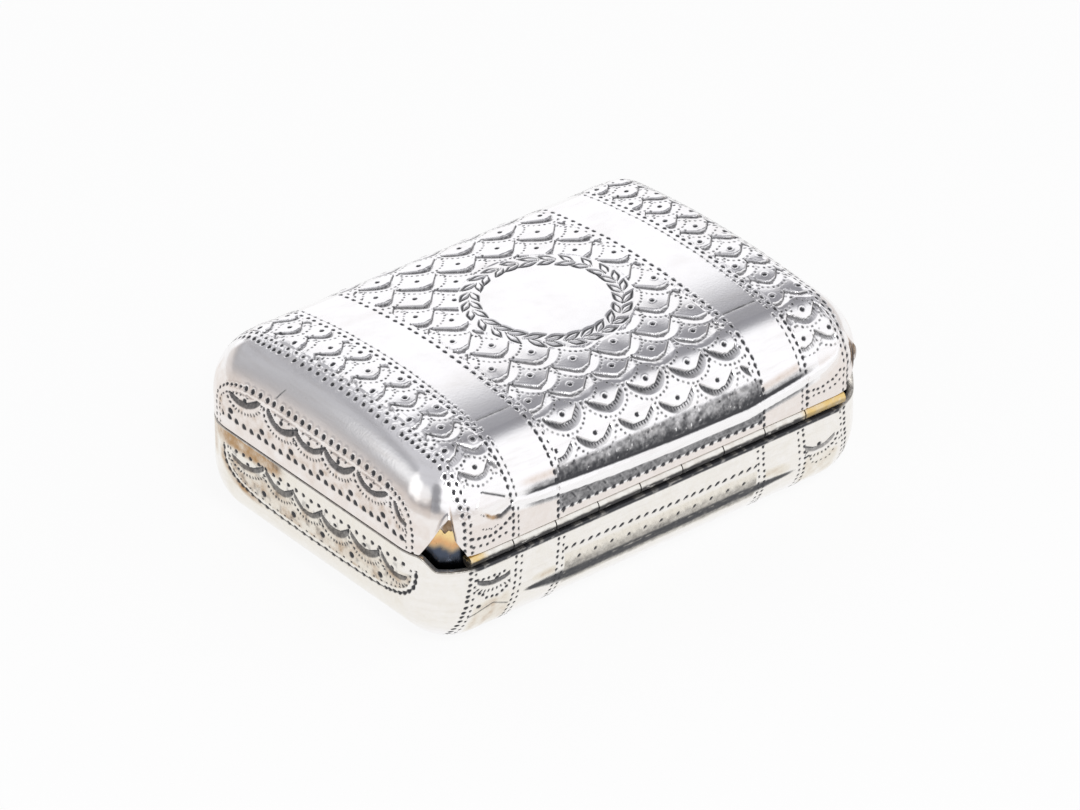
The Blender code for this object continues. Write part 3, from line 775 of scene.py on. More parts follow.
def carve_lid_wall(work, x, t, wall, flip):
    """Lower part of the lid's hinge wall, and the same mirrored on its front."""
    near = np.flatnonzero(wall & (t > 3.9) & (np.abs(x) < 17.2))
    part = Engraving(near.size)
    part.height, part.tarnish, part.warmth = work.height[near], work.tarnish[near], work.warmth[near]
    x, centre, foot, panel = carve_bead(part, x[near], t[near], flip)
    t = t[near]
    line = 7.67 + 0.1 * rise(-x, 2.0, 8.0)
    strip = between(t, foot, foot + 0.05, line - 0.12, line + 0.02) * panel
    part.add_tarnish_and_shade(ALL, strip * (0.7 + 0.06 * speckle(x * 0.3, t, 0.12, 36)), 1.0)
    leaf = (x + 0.75 * (t - centre)) / 1.42
    near_leaf = leaf - np.round(leaf)
    inside = rise(t, foot, foot + 0.25) * (t < line - 0.15) * panel
    part.tarnish *= 1 - 0.14 * bell(near_leaf, -0.04, 0.1) * inside
    stroke = bell(near_leaf, 0.07, 0.17) * inside * fall(t, line - 0.6, line - 0.3)
    part.cut(ALL, stroke, 0.01, 0.97)
    punched_line(part, x / 0.74, 0.74, t - line, (0.5, 0.34), 0.08, 0.97, panel, seed=41, taper=0.8,
                 lean=0.25)
    # Pink tint on the wall below: the silver's warm tone, with the floor's tone in its reflection painted
    # in.
    part.warm(ALL, np.where(panel, rise(t, line, line + 0.1), rise(t, foot + 0.1, foot + 0.5)), 0.3)
    if flip > 0:
        carve_lid_corner_scale(part, x, t)
        for corners, pitch, size, dark, seed in LID_CORNER_DOTS:
            dot_row(part, x, t, corners, pitch, size, dark, seed=seed)
    work.height[near], work.tarnish[near], work.warmth[near] = part.height, part.tarnish, part.warmth


def carve_lid_corner_scale(part, x, t):
    """The large last scale beside the notch: a polished facet under a cut, with a brown scoop."""
    top = np.interp(x, (13.4, 13.7, 14.25, 15.15, 15.45, 16.2), (4.95, 4.84, 4.55, 4.1, 3.9, 4.75))
    low = np.interp(x, (13.4, 14.3, 15.1, 15.75, 16.2), (5.5, 5.85, 5.7, 5.25, 4.85))
    across = (x > 13.4) & (x < 16.2)
    facet = between(t, top, top + 0.05, low - 0.05, low) * across
    part.clear(ALL, facet)
    part.height += 0.05 * facet * (x - 14.9)
    part.warm(ALL, facet, 0.12)
    part.cut(ALL, bell(t, top, 0.17) * (x > 13.7) * (x < 15.5), 0.05, 0.92)
    scoop = between(t, low - 0.02, low + 0.06, low + 0.2, low + 0.6) * across
    part.cut(ALL, scoop * fall(x, 14.5, 15.2), 0.06, 0.8)
    part.warm(ALL, scoop * between(x, 13.9, 14.7, 15.4, 15.9), 0.85)


def end_scales(part, y, t, panel, scales, grime_and_shade, seed):
    """Six ticked scales in a row across an end panel."""
    for number, (y0, t0, half, tongue, reach, tilt) in enumerate(scales):
        fish_scale(part, y, t, (y0, t0), half, tongue, reach, 0.36, grime_and_shade, tilt=tilt, ticks=True, cut=0.12,
                   seed=seed + number, inside=panel)


def end_dots(part, y, t, panel, places, level, size):
    """Large dots at one level under the gaps between the scales."""
    for y0 in places:
        spot = np.flatnonzero((np.abs(y - y0) < 0.6) & (np.abs(t - level) < 0.6) & panel)
        punch(part, spot, y[spot] - y0, t[spot] - level, size, 0.1, 0.95)


def carve_lid_end(work, y, t, inside):
    """The end panel: an arched double border, six scales in a row and a straight dotted line."""
    near = np.flatnonzero(inside & (t > 3.2) & (np.abs(y) < 12.4))
    part = Engraving(near.size)
    y, t = y[near], t[near]
    place, across = arch_place(y, LID_ARCH[3] - t, LID_ARCH)
    number, pitch = arch_numbers(place, 8.2, 0.8, 0.48)
    top = np.abs(place) < 8.3
    punched_line(part, number, pitch, across, (0.44, 0.4), 0.08, 0.97, top, seed=51, taper=0.0)
    punched_line(part, number, pitch, across, (0.34, 0.24), 0.08, 0.93, ~top, seed=54, taper=0.2)
    punched_line(part, number + 0.5, pitch, across + 0.55, (0.28, 0.18), 0.05, 0.85, seed=52)
    part.height += 0.02 * bell(across, -0.27, 0.12)
    panel = across < -0.45
    end_scales(part, y, t, panel, LID_END_SCALES, 0.74, 200)
    end_dots(part, y, t, panel, LID_END_DOTS, 6.62, (0.6, 0.5))
    line = 7.2 + 0.3 * rise(y, 7.5, 10.5)
    reach = (y > -10.3) & (y < 10.4)
    punched_line(part, y / 0.85, 0.85, t - line, (0.6, 0.5), 0.09, 0.95, reach, seed=53, taper=0.5, lean=0.4)
    mottle = clouds(y, t, 0.4, 55)
    patch = clouds(y * 0.6, t, 0.7, 56)
    part.add_tarnish_and_shade(ALL, panel * between(t, 4.4, 5.0, 6.9, 7.5), 0.08 + 0.12 * mottle)
    part.add_tarnish_and_shade(ALL, between(t, 3.3, 4.2, 4.6, 5.4) * patch, 0.2)
    part.warm(ALL, rise(t, 3.2, 4.8), 0.14 + 0.1 * mottle + 0.22 * patch)
    part.warm(ALL, panel * between(t, 5.2, 6.0, 7.2, 7.6), 0.26 + 0.34 * mottle)
    scratch = bell(y + 4.6 + 0.69 * (t - 3.6), 0, 0.18) * between(t, 3.05, 3.3, 3.9, 4.1)
    part.cut(ALL, scratch, 0.01, 0.8)
    add_back(work, near, part)


def add_back(work, near, part):
    """Lay the marks of a part of a skin over the skin's own."""
    work.height[near] += part.height
    work.tarnish[near] = np.maximum(work.tarnish[near], part.tarnish)
    work.warmth[near] = np.maximum(work.warmth[near], part.warmth)


# Pattern on the base

def base_borders(work, x, t, inside):
    """Double punched lines down the base's long sides, leaning outwards as they go down."""
    for side in (-1, 1):
        lean = rise(t, 1.0, 7.0)
        for start, end, pitch, size, seed in (
            (9.28, 9.62, 0.5, (0.3, 0.26), 61), (8.8, 9.15, 0.55, (0.26, 0.22), 62),
            (12.98, 13.5, 0.5, (0.3, 0.26), 63), (12.52, 13.0, 0.55, (0.26, 0.22), 64),
            (16.9, 17.58, 0.45, (0.3, 0.34), 65), (16.5, 17.15, 0.5, (0.24, 0.2), 66),
        ):
            edge = start + (end - start) * lean
            punched_line(work, t / pitch, pitch, side * x - edge, size, 0.06, 0.93, inside, seed=seed + side)


def carve_base_wall(work, x, t, inside, flip):
    """The base's long wall: slanted dashes over a dark band, painted shadow in the panel, and a scale at
    each end.
    """
    near = np.flatnonzero(inside & (np.abs(x) < 17.4))
    part = Engraving(near.size)
    x, t = x[near] * flip, t[near]
    panel = np.abs(x) < 8.75
    line = 2.62 + 0.22 * rise(-x, -8.0, 3.0)
    punched_line(part, x / 0.72, 0.72, t - line, (0.6, 0.26), 0.07, 0.93, panel, seed=71, lean=0.45)
    punched_line(part, x / 1.5, 1.5, t - line - 1.0, (0.42, 0.28), 0.07, 0.9, panel, seed=72, lean=0.6)
    leaf = (x + 0.5 * (t - line)) / 0.75
    near_leaf = leaf - np.round(leaf)
    vein = bell(near_leaf, 0.1, 0.16) * rise(t, line + 0.25, line + 0.6) * (t < 4.3) * panel
    part.cut(ALL, vein, 0.04, 0.45)
    # Cream tint over the wall and upper shoulder: the silver's warm tone, with the floor's tone in its
    # reflection painted in.
    part.warm(ALL, fall(t, 5.5, 7.0), 0.13)
    part.warm(ALL, between(t, line, line + 0.6, 5.3, 6.2) * panel, 0.34)
    shadow = between(t, line + 0.1, 4.5, 5.3, 6.0) * (0.85 + 0.15 * speckle(x * 0.6, t, 0.3, 76))
    part.add_tarnish_and_shade(ALL, shadow * panel, 0.66)
    # Pale spots on the leaves, lifted out of the painted shadow: painted highlights.
    pale = bell(np.hypot(near_leaf * 1.6, (t - line - 0.75) * 1.1), 0, 0.55) * panel
    part.tarnish *= 1 - 0.7 * pale
    reach = np.interp(x, (-12.6, -10.5, -8, 0, 8, 9.3, 12.6), (0.15, 0.4, 0.7, 0.8, 0.85, 0.8, 0.1))
    middle = np.interp(x, (-12.6, -8, 8, 12.6), (4.75, 4.75, 4.85, 4.55))
    within = (np.abs(x) < 12.6) * rise(reach, 0.1, 0.3)
    low = between(t, middle - reach, middle - 0.2 * reach, middle + 0.3 * reach, middle + 1.2 * reach)
    streak = 0.6 * speckle(x * 0.18, t, 0.13, 73) + 0.4 * speckle(x, t, 0.2, 77)
    part.add_tarnish_and_shade(ALL, low * within * (0.9 + 0.1 * streak), 1.0)
    # Lighter streaks along the dark band: painted glints.
    dashes = rise(speckle(x * 0.6, t, 0.18, 74), 0.0, 0.7) * bell(t, middle - 0.1, 0.12) * panel
    part.tarnish *= 1 - 0.35 * dashes
    plain = (np.abs(x) > PANEL_HALF + 0.2) & (np.abs(x) < 12.3)
    part.warm(ALL, plain * bell(t, 3.9, 0.7) * fall(np.abs(x), 10.5, 12.6), 0.5)
    if flip > 0:
        # Along the hinge, under the roll, a dark band just under the rim is painted shade, and a broken
        # lighter line in it is a painted highlight.
        part.add_tarnish_and_shade(ALL, fall(t, 1.22, 1.4) * fall(np.abs(x), *RIM_SHADE_FADE), 0.97)
        part.clear(ALL, 0.7 * bell(t, 1.2, 0.06) * rise(speckle(x, x * 0, 0.35, 75), 0.1, 0.6))
        carve_base_corners(part, x, t)
    add_back(work, near, part)


def carve_base_corners(part, x, t):
    """Scales, dot rows and brown stains at both ends of the base's hinge wall."""
    left = (x > 13.5) & (x < 16.6)
    dot_row(part, x, t, ((16.4, 2.05), (15.3, 2.1), (14.4, 2.2), (13.7, 2.15)), 0.46, 0.3, 0.9, left, 11)
    fish_scale(part, x, t, (14.75, 2.42), 1.7, 0.45, 0.85, 0.3, 0.75, cut=0.12, ticks=True, seed=81,
               inside=left)
    arc = ((16.3, 3.1), (15.6, 3.7), (14.6, 3.86), (13.9, 3.5), (13.5, 3.1))
    dot_row(part, x, t, arc, 0.45, 0.32, 0.93, left, 12)
    dot_row(part, x, t, ((16.25, 4.25), (16.2, 4.3)), 1.0, 0.42, 0.93, left, 13)
    curve = np.interp(x, (13.5, 15.0, 16.0, 17.0), (5.2, 4.45, 4.7, 5.15))
    part.cut(ALL, bell(t, curve, 0.14) * (x > 13.5) * (x < 17.0), 0.04, 0.75)
    right = (x < -13.2) & (x > -16.7)
    fish_scale(part, x, t, (-14.5, 3.25), 1.5, 0.55, 0.95, 0.35, 0.6, cut=0.1, ticks=True, seed=83,
               inside=right)
    dot_row(part, x, t, ((-13.4, 3.6), (-14.2, 4.9), (-15.6, 4.9), (-16.6, 3.4)), 0.45, 0.24, 0.8, right, 14)
    mottle = clouds(x, t, 0.5, 84)
    low = between(t, 3.4, 4.4, 6.2, 8.0)
    part.warm(ALL, low * between(x, 12.9, 14.0, 16.3, 17.3) * (0.45 + 0.55 * mottle), 0.62)
    part.warm(ALL, low * between(-x, 12.6, 13.7, 16.0, 17.0) * (0.4 + 0.6 * mottle), 0.5)
    part.warm(ALL, bell(x, -11.0, 2.0) * bell(t, 4.2, 0.8), 0.45)


def carve_base_end(work, y, t, inside):
    """The base's end panel: a dotted line, six scales, a drooping border and brown stains."""
    near = np.flatnonzero(inside & (np.abs(y) < 12.2))
    part = Engraving(near.size)
    y, t = y[near], t[near]
    place, across = arch_place(y - 0.65, t - BASE_ARCH[3], BASE_ARCH)
    number, pitch = arch_numbers(place, 7.5, 0.85, 0.55)
    lower = t > 1.2
    part.cut(ALL, bell(across, 0, 0.14) * lower, 0.04, 0.85)
    punched_line(part, number, pitch, across, (0.5, 0.34), 0.08, 0.93, lower, seed=91, taper=0.3)
    punched_line(part, number + 0.5, pitch, across + 0.45, (0.26, 0.2), 0.05, 0.85, lower, seed=92)
    panel = (across < -0.35) & (t > 0.6)
    line = 1.2 + 0.25 * rise(-y, 7.0, 9.0)
    reach = (y > -9.4) & (y < 10.4)
    punched_line(part, y / 0.86, 0.86, t - line + 0.15, (0.42, 0.34), 0.08, 0.93, reach, seed=93, taper=0.3)
    end_scales(part, y, t, panel, BASE_END_SCALES, 0.7, 300)
    end_dots(part, y, t, panel, BASE_END_DOTS, 3.25, (0.58, 0.5))
    mottle = clouds(y, t * 1.6, 0.8, 94)
    part.add_tarnish_and_shade(ALL, rise(speckle(y, t, 0.3, 95), -0.2, 0.8) * panel * rise(t, 0.9, 1.4), 0.42)
    part.add_tarnish_and_shade(ALL, bell(y, -3.9, 1.9) * bell(t, 0.3, 0.5) * (0.4 + 0.6 * mottle), 0.55)
    part.add_tarnish_and_shade(ALL, bell(y, -11.3, 0.9) * fall(t, 0.1, 0.22), 0.97)
    part.add_tarnish_and_shade(ALL, panel * rise(t, 1.3, 2.0), 0.08 + 0.14 * mottle)
    brown = between(y, -12.4, -10.5, -5.0, -1.2) * fall(t, 0.8, 1.7)
    part.warm(ALL, brown * (0.62 + 0.38 * mottle), 0.98)
    part.warm(ALL, bell(y, -11.6, 1.2) * fall(t, 2.2, 3.6), 0.7)
    part.warm(ALL, bell(across, 0.2, 0.8) * rise(-y, 1.0, 7.5) * (0.4 + 0.6 * mottle), 0.95)
    part.warm(ALL, fall(t, 6.0, 8.0) * fall(np.abs(y), 9.5, 12.0), 0.26)
    part.warm(ALL, panel * rise(t, 1.4, 2.2), 0.34 + 0.36 * mottle)
    add_back(work, near, part)


# Skins

def skin_count(length):
    """How many points a length takes at the skins' pitch."""
    return int(np.ceil(length / SKIN_PITCH)) + 1


def make_sides(half_name, wall_part, silver):
    """The four engraved stretches of one half's side, which meet on plain ground."""
    half = outline_length() / 2
    marks = (-SPLIT_X, SPLIT_X, half - SPLIT_X, half + SPLIT_X, 2 * half - SPLIT_X)
    sides = ("hinge_side", "left_end", "front_side", "right_end")
    for side, w_from, w_to in zip(sides, marks, marks[1:]):
        name = f"{half_name}_{side}_skin"
        make_piece(name, wall_part(w_from, w_to), half_name, silver, [f"{half_name}_shell"])


def strip_rows(points, normal, down, fold=0.0):
    """Rounded edge: rows that turn from the outer face to the inner one, and hang lower by fold."""
    rows = []
    for inward, lower, hang in (
        (0.0, 0.0, 0.0), (0.02, 0.04, 0.08), (0.06, EDGE_ROUND, 0.25), (0.25, EDGE_ROUND, 0.7),
        (0.44, EDGE_ROUND, 1.0), (0.48, 0.04, 1.0), (SHEET, 0.0, 0.0),
    ):
        rows.append(points - normal * inward + down * (lower + hang * fold))
    return np.stack(rows)


# Lid

def lid_edge_t(cut_up):
    """Arc length down to where the lid's edge starts to round, with the edge cut up by cut_up."""
    return np.interp(-(LID_EDGE_Z + EDGE_ROUND + cut_up), -LID[1][1:], LID[2][1:])


def lid_wall_part(w_from, w_to):
    """One stretch of the lid's shoulder and wall, engraved, from the core's edge to the rim."""
    rows, columns = skin_count(LID_RIM_T), skin_count(w_to - w_from)
    w = np.linspace(w_from, w_to, columns)
    cut_up = notch_rise(w)
    end_t = lid_edge_t(cut_up)
    t = np.linspace(0, 1, rows)[:, None] * end_t[None]
    from_edge = end_t[None] - t
    w = np.broadcast_to(w, t.shape)
    points, normal = shell_points(LID, w, t, True)
    work = Engraving(t.size)
    carve_lid_stretch(work, w, t)
    lip = np.clip(1 - from_edge / 0.6, 0, 1) ** 2 * rise(cut_up, 0.1, 1.2)
    curl = bell(notch_place(w), 0.2, 0.11) * fall(from_edge, 0.35, 1.2)
    work.height += 0.13 * lip.ravel()
    work.warm(ALL, curl.ravel(), 0.9)
    work.add_tarnish_and_shade(ALL, (curl * fall(from_edge, 0.1, 0.8)).ravel(), 0.85)
    points = work.raised(points, normal)
    down = points[-1] - points[-2]
    down = down / np.linalg.norm(down, axis=-1, keepdims=True)
    curled = rise(cut_up, 2.3, 2.9)
    strip = strip_rows(points[-1], normal[-1], down, 0.85 * curled[:, None])
    tone, brown = 0.4 + 0.1 * curled, 0.35 + 0.6 * curled
    shade = {"tarnish": np.tile(tone, len(strip)), "warmth": np.tile(brown, len(strip))}
    skin = (points, grid_triangles(rows, columns), work.values())
    return [skin, (strip, grid_triangles(len(strip), columns), shade)]


def carve_lid_stretch(work, w, t):
    """All the marks on a stretch of the lid's side."""
    core_x, core_y, out_x, out_y = (one.ravel() for one in plan(w))
    depth = t.ravel()
    x = core_x + np.interp(depth, LID[2], LID[0]) * out_x
    keep = fall(depth, 3.0, LID_RIM_T)
    s = np.sign(core_y) * (CORE_S + depth * (1 - keep * (1 - np.abs(out_y))))
    on_end = np.abs(out_x) > 1 - 1e-9
    s = np.where(on_end, crown_arc(core_y), s)
    carve_lid(work, x, s, depth / LID_RIM_T)
    work.warm(ALL, rise(depth, 3.8, 5.6) * (np.abs(x) > 14.5), 0.22)
    cloud = clouds(core_y * 0.4 + out_y, depth, 0.5, 26)
    # The mottled dark line across the ends' shoulder is a painted dark reflection; below it the shoulder is
    # mottled a little darker.
    work.add_tarnish_and_shade(ALL, bell(depth, 2.05, 0.5) * (np.abs(out_x) > 0.9) * (0.5 + 0.5 * cloud), 0.26)
    work.add_tarnish_and_shade(ALL, between(depth, 2.0, 2.4, 3.4, 4.2) * on_end * cloud, 0.16)
    carve_lid_wall(work, x, depth, out_y > 0.3, 1)
    carve_lid_wall(work, x, depth, out_y < -0.3, -1)
    carve_lid_end(work, end_place(w).ravel(), depth, np.abs(out_x) > 0.3)


def lid_cap_part():
    """The crowned top inside the core rectangle, engraved."""
    rows, columns = skin_count(2 * CORE_Y), skin_count(2 * CORE_X)
    x, y = np.meshgrid(np.linspace(-CORE_X, CORE_X, columns), np.linspace(-CORE_Y, CORE_Y, rows))
    slope = -2 * LID_CROWN * y / LID_HIGH[1] ** 2
    z = LID_HIGH[2] - LID_CROWN + crown(np.zeros_like(y), y)
    normal = np.stack([np.zeros_like(slope), -slope, np.ones_like(slope)], -1)
    normal /= np.linalg.norm(normal, axis=-1, keepdims=True)
    work = Engraving(x.size)
    carve_lid(work, x.ravel(), crown_arc(y).ravel(), np.zeros(x.size))
    points = work.raised(np.stack([x, y, z], -1), normal)
    return [(points, grid_triangles(rows, columns), work.values())]


def make_lid(silver, gilt):
    """The lid's engraved skin in five pieces that meet on plain ground, and its gilt lining."""
    make_piece("lid_top_skin", lid_cap_part(), "lid", silver, ["lid_shell"])
    make_sides("lid", lid_wall_part, silver)
    make_piece("lid_gilt_lining", lid_lining_parts(), "lid", gilt, ["lid_shell"])


def lid_lining_parts():
    """The lid's inside, one sheet's thickness in from the skin."""
    columns = int(outline_length() / LINING_PITCH)
    w = np.linspace(0, outline_length(), columns)
    t = np.linspace(0, 1, 30)[::-1, None] * lid_edge_t(notch_rise(w))[None]
    points, normal = shell_points(LID, np.broadcast_to(w, t.shape), t, True)
    wall = points - normal * SHEET
    x, y = np.meshgrid(np.linspace(-CORE_X, CORE_X, 60), np.linspace(CORE_Y, -CORE_Y, 40))
    z = LID_HIGH[2] - LID_CROWN + crown(np.zeros_like(y), y) - SHEET
    cap = np.stack([x, y, z], -1)
    return [(wall, grid_triangles(*t.shape), {}), (cap, grid_triangles(*x.shape), {})]


# Base

def base_wall_part(w_from, w_to):
    """One stretch of the base's wall and turned-in lower edge, from its rim to the underside."""
    rows, columns = skin_count(BASE[2][-1]), skin_count(w_to - w_from)
    w = np.linspace(w_from, w_to, columns)
    start_t = BASE_RIM_Z - base_rim(w) + EDGE_ROUND
    share = np.linspace(0, 1, rows)[:, None]
    t = start_t[None] * (1 - share) + BASE[2][-1] * share
    w = np.broadcast_to(w, t.shape)
    points, normal = shell_points(BASE, w, t, False)
    work = Engraving(t.size)
    carve_base_stretch(work, w, t)
    points = work.raised(points, normal)
    up = np.array([0.0, 0.0, 1.0])
    strip = strip_rows(points[0], normal[0], up)[::-1]
    rim_x, rim_y = points[0, :, 0], points[0, :, 1]
    # The rim's rounded edge is darker along the hinge under the roll: painted shade, with lighter specks as
    # painted glints.
    lowered = rise(BASE_RIM_Z - base_rim(w[0]), 0.2, 0.8) * fall(np.abs(rim_x), *RIM_SHADE_FADE)
    glints = rise(speckle(rim_x, rim_y, 0.4, 78), 0.1, 0.6)
    shade = {"tarnish": np.tile(0.5 + 0.42 * lowered * (1 - 0.6 * glints), len(strip)), "warmth": 0.3}
    skin = (points, grid_triangles(rows, columns), work.values())
    return [(strip, grid_triangles(len(strip), columns), shade), skin]


def carve_base_stretch(work, w, t):
    """All the marks on a stretch of the base's side."""
    core_x, core_y, out_x, out_y = (one.ravel() for one in plan(w))
    depth = t.ravel()
    x = core_x + np.interp(depth, BASE[2], BASE[0]) * out_x
    # Cream tint over the wall and upper shoulder: the silver's warm tone, with the floor's tone in its
    # reflection painted in.
    work.warm(ALL, fall(depth, 5.5, 8.0), 0.19)
    base_borders(work, x, depth, (np.abs(out_y) > 0.3) & (depth < 7.5))
    carve_base_wall(work, x, depth, (out_y > 0.3) & (depth < 8.5), 1)
    carve_base_wall(work, x, depth, (out_y < -0.3) & (depth < 8.5), -1)
    carve_base_end(work, end_place(w).ravel(), depth, (np.abs(out_x) > 0.3) & (depth < 8.5))


def make_base(silver, gilt):
    """The base's engraved skin in four pieces, its flat underside and its gilt lining."""
    make_sides("base", base_wall_part, silver)
    make_piece("base_underside", underside_parts(), "base", silver, ["base_shell"])
    make_piece("base_gilt_lining", base_lining_parts(), "base", gilt, ["base_shell"])


def underside_parts():
    """The flat underside: the lower edge's outline drawn in to a point in the middle."""
    w = np.linspace(0, outline_length(), 400)
    core_x, core_y, out_x, out_y = plan(w)
    radius = CORNER_RADIUS - BASE_SHOULDER_INSET
    rim = np.stack([core_x + radius * out_x, core_y + radius * out_y, np.zeros_like(w)], -1)
    share = np.linspace(1, 0, 24)[:, None, None]
    return [(rim[None] * share, grid_triangles(24, w.size), {})]


def base_lining_parts():
    """The base's inside, one sheet's thickness in, down to a flat floor."""
    columns = int(outline_length() / LINING_PITCH)
    w = np.linspace(0, outline_length(), columns)
    start_t = BASE_RIM_Z - base_rim(w) + EDGE_ROUND
    share = np.linspace(1, 0, 30)[:, None]
    t = start_t[None] * (1 - share) + (BASE[2][-1] - 0.05) * share
    points, normal = shell_points(BASE, np.broadcast_to(w, t.shape), t, False)
    wall = points - normal * SHEET
    inset = wall[0] * np.array([1, 1, 0]) + np.array([0, 0, SHEET])
    wall[..., 2] = np.maximum(wall[..., 2], SHEET)
    floor = inset[None] * np.array([1, 1, 0]) * np.linspace(0, 1, 20)[:, None, None]
    floor[..., 2] = SHEET
    return [(wall, grid_triangles(*t.shape), {}), (floor, grid_triangles(20, columns), {})]


def make_bezel(gilt):
    """The gilt bezel: one closed loop of a thin upright section with a rounded top, swept round
    a rectangle with round corners. Down its outer face the yellow turns to a painted orange
    reflection and then to blue-black painted shade."""
    high_x, high_y = BEZEL_HIGH[:2] - BEZEL_RADIUS
    low_x, low_y = BEZEL_LOW[:2] + BEZEL_RADIUS
    corner = np.linspace(0, np.pi / 2, 14)
    outline, facing = [], []
    for quarter, centre in enumerate(((high_x, high_y), (low_x, high_y), (low_x, low_y), (high_x, low_y))):
        angle = corner + quarter * np.pi / 2
        outward = np.stack([np.cos(angle), np.sin(angle)], -1)
        outline.append(np.array(centre) + outward * BEZEL_RADIUS)
        facing.append(outward)
    outline, facing = np.concatenate(outline), np.concatenate(facing)
    outline = np.concatenate([outline, outline[:1]])
    facing = np.concatenate([facing, facing[:1]])
    lengths = arc_length(outline[:, 0], outline[:, 1])
    even = np.unique(np.concatenate([lengths, np.linspace(0, lengths[-1], 260)]))
    spots = np.stack([np.interp(even, lengths, outline[:, k]) for k in (0, 1)], -1)
    outward = np.stack([np.interp(even, lengths, facing[:, k]) for k in (0, 1)], -1)
    outward /= np.linalg.norm(outward, axis=-1, keepdims=True)
    top, low = BEZEL_HIGH[2], BEZEL_LOW[2]
    straight_top = top - BEZEL_ROUND - 0.01
    outer_rows, inner_rows = 24, 12
    turn = np.linspace(0, np.pi / 2, 6)
    inner_turn = turn[::-1]
    inward = np.concatenate([
        np.zeros(outer_rows), BEZEL_ROUND * (1 - np.cos(turn)),
        BEZEL_SHEET - BEZEL_ROUND * (1 - np.cos(inner_turn)), np.full(inner_rows, BEZEL_SHEET), [0.0],
    ])
    height = np.concatenate([
        np.linspace(low, straight_top, outer_rows), top - BEZEL_ROUND * (1 - np.sin(turn)),
        top - BEZEL_ROUND * (1 - np.sin(inner_turn)), np.linspace(straight_top, low, inner_rows), [low],
    ])
    points = np.zeros((height.size, even.size, 3))
    points[..., :2] = spots[None] - outward[None] * inward[:, None, None]
    points[..., 2] = height[:, None]
    outer_face = (np.arange(height.size) < outer_rows + turn.size)[:, None] * np.ones(even.size)
    # Yellow at the top of the outer face, a painted orange reflection below it and blue-black painted shade
    # lowest down.
    tide = height[:, None] + 0.22 * np.sin(1.9 * even)[None] + 0.12 * np.sin(5.3 * even + 1)[None]
    blue, orange = fall(tide, 8.05, 8.75), bell(tide, 8.75, 0.75)
    values = {"tarnish": outer_face * blue, "warmth": outer_face * orange}
    triangles = grid_triangles(height.size, even.size)
    make_piece("bezel_wall", [(points, triangles, values)], "base", gilt, ["base_bezel"])


# Finishes

BUMP_DISTANCE = 0.00005
POLISHED = (0.96, 0.95, 0.955, 1)
FILMED = (0.76, 0.72, 0.69, 1)
BASE_CAST = (0.81, 0.76, 0.66, 1)
LID_CAST = (0.81, 0.735, 0.685, 1)
BROWN = (0.44, 0.27, 0.13, 1)
# Dark of the tarnish in the cuts, also used for painted shade and dark reflections.
DARK_TARNISH_AND_SHADE = (0.045, 0.046, 0.052, 1)
ROLL_CREAM = (0.86, 0.84, 0.79, 1)
ROLL_DULL = (0.55, 0.48, 0.41, 1)
ROLL_YELLOW = (0.80, 0.58, 0.24, 1)
# Black of the roll's lower half: grime and painted shade.
ROLL_GRIME_AND_SHADE = (0.035, 0.033, 0.035, 1)
GOLD = (0.92, 0.70, 0.34, 1)
PALE_GOLD = (0.94, 0.80, 0.55, 1)
# Painted on the bezel: an orange reflection and a blue-black shade.
REFLECTED_ORANGE = (0.74, 0.42, 0.20, 1)
SHADED_BLUE = (0.075, 0.09, 0.125, 1)
DARK_SPECK = (0.16, 0.09, 0.04, 1)


class Link:
    """A node's output that Python arithmetic can be done on: each sign adds one Math node."""

    def __init__(self, shop, socket):
        self.shop = shop
        self.socket = socket

    def __add__(self, other):
        return self.shop.math("ADD", self, other)

    __radd__ = __add__

    def __sub__(self, other):
        return self.shop.math("SUBTRACT", self, other)

    def __rsub__(self, other):
        return self.shop.math("SUBTRACT", other, self)

    def __mul__(self, other):
        return self.shop.math("MULTIPLY", self, other)

    __rmul__ = __mul__


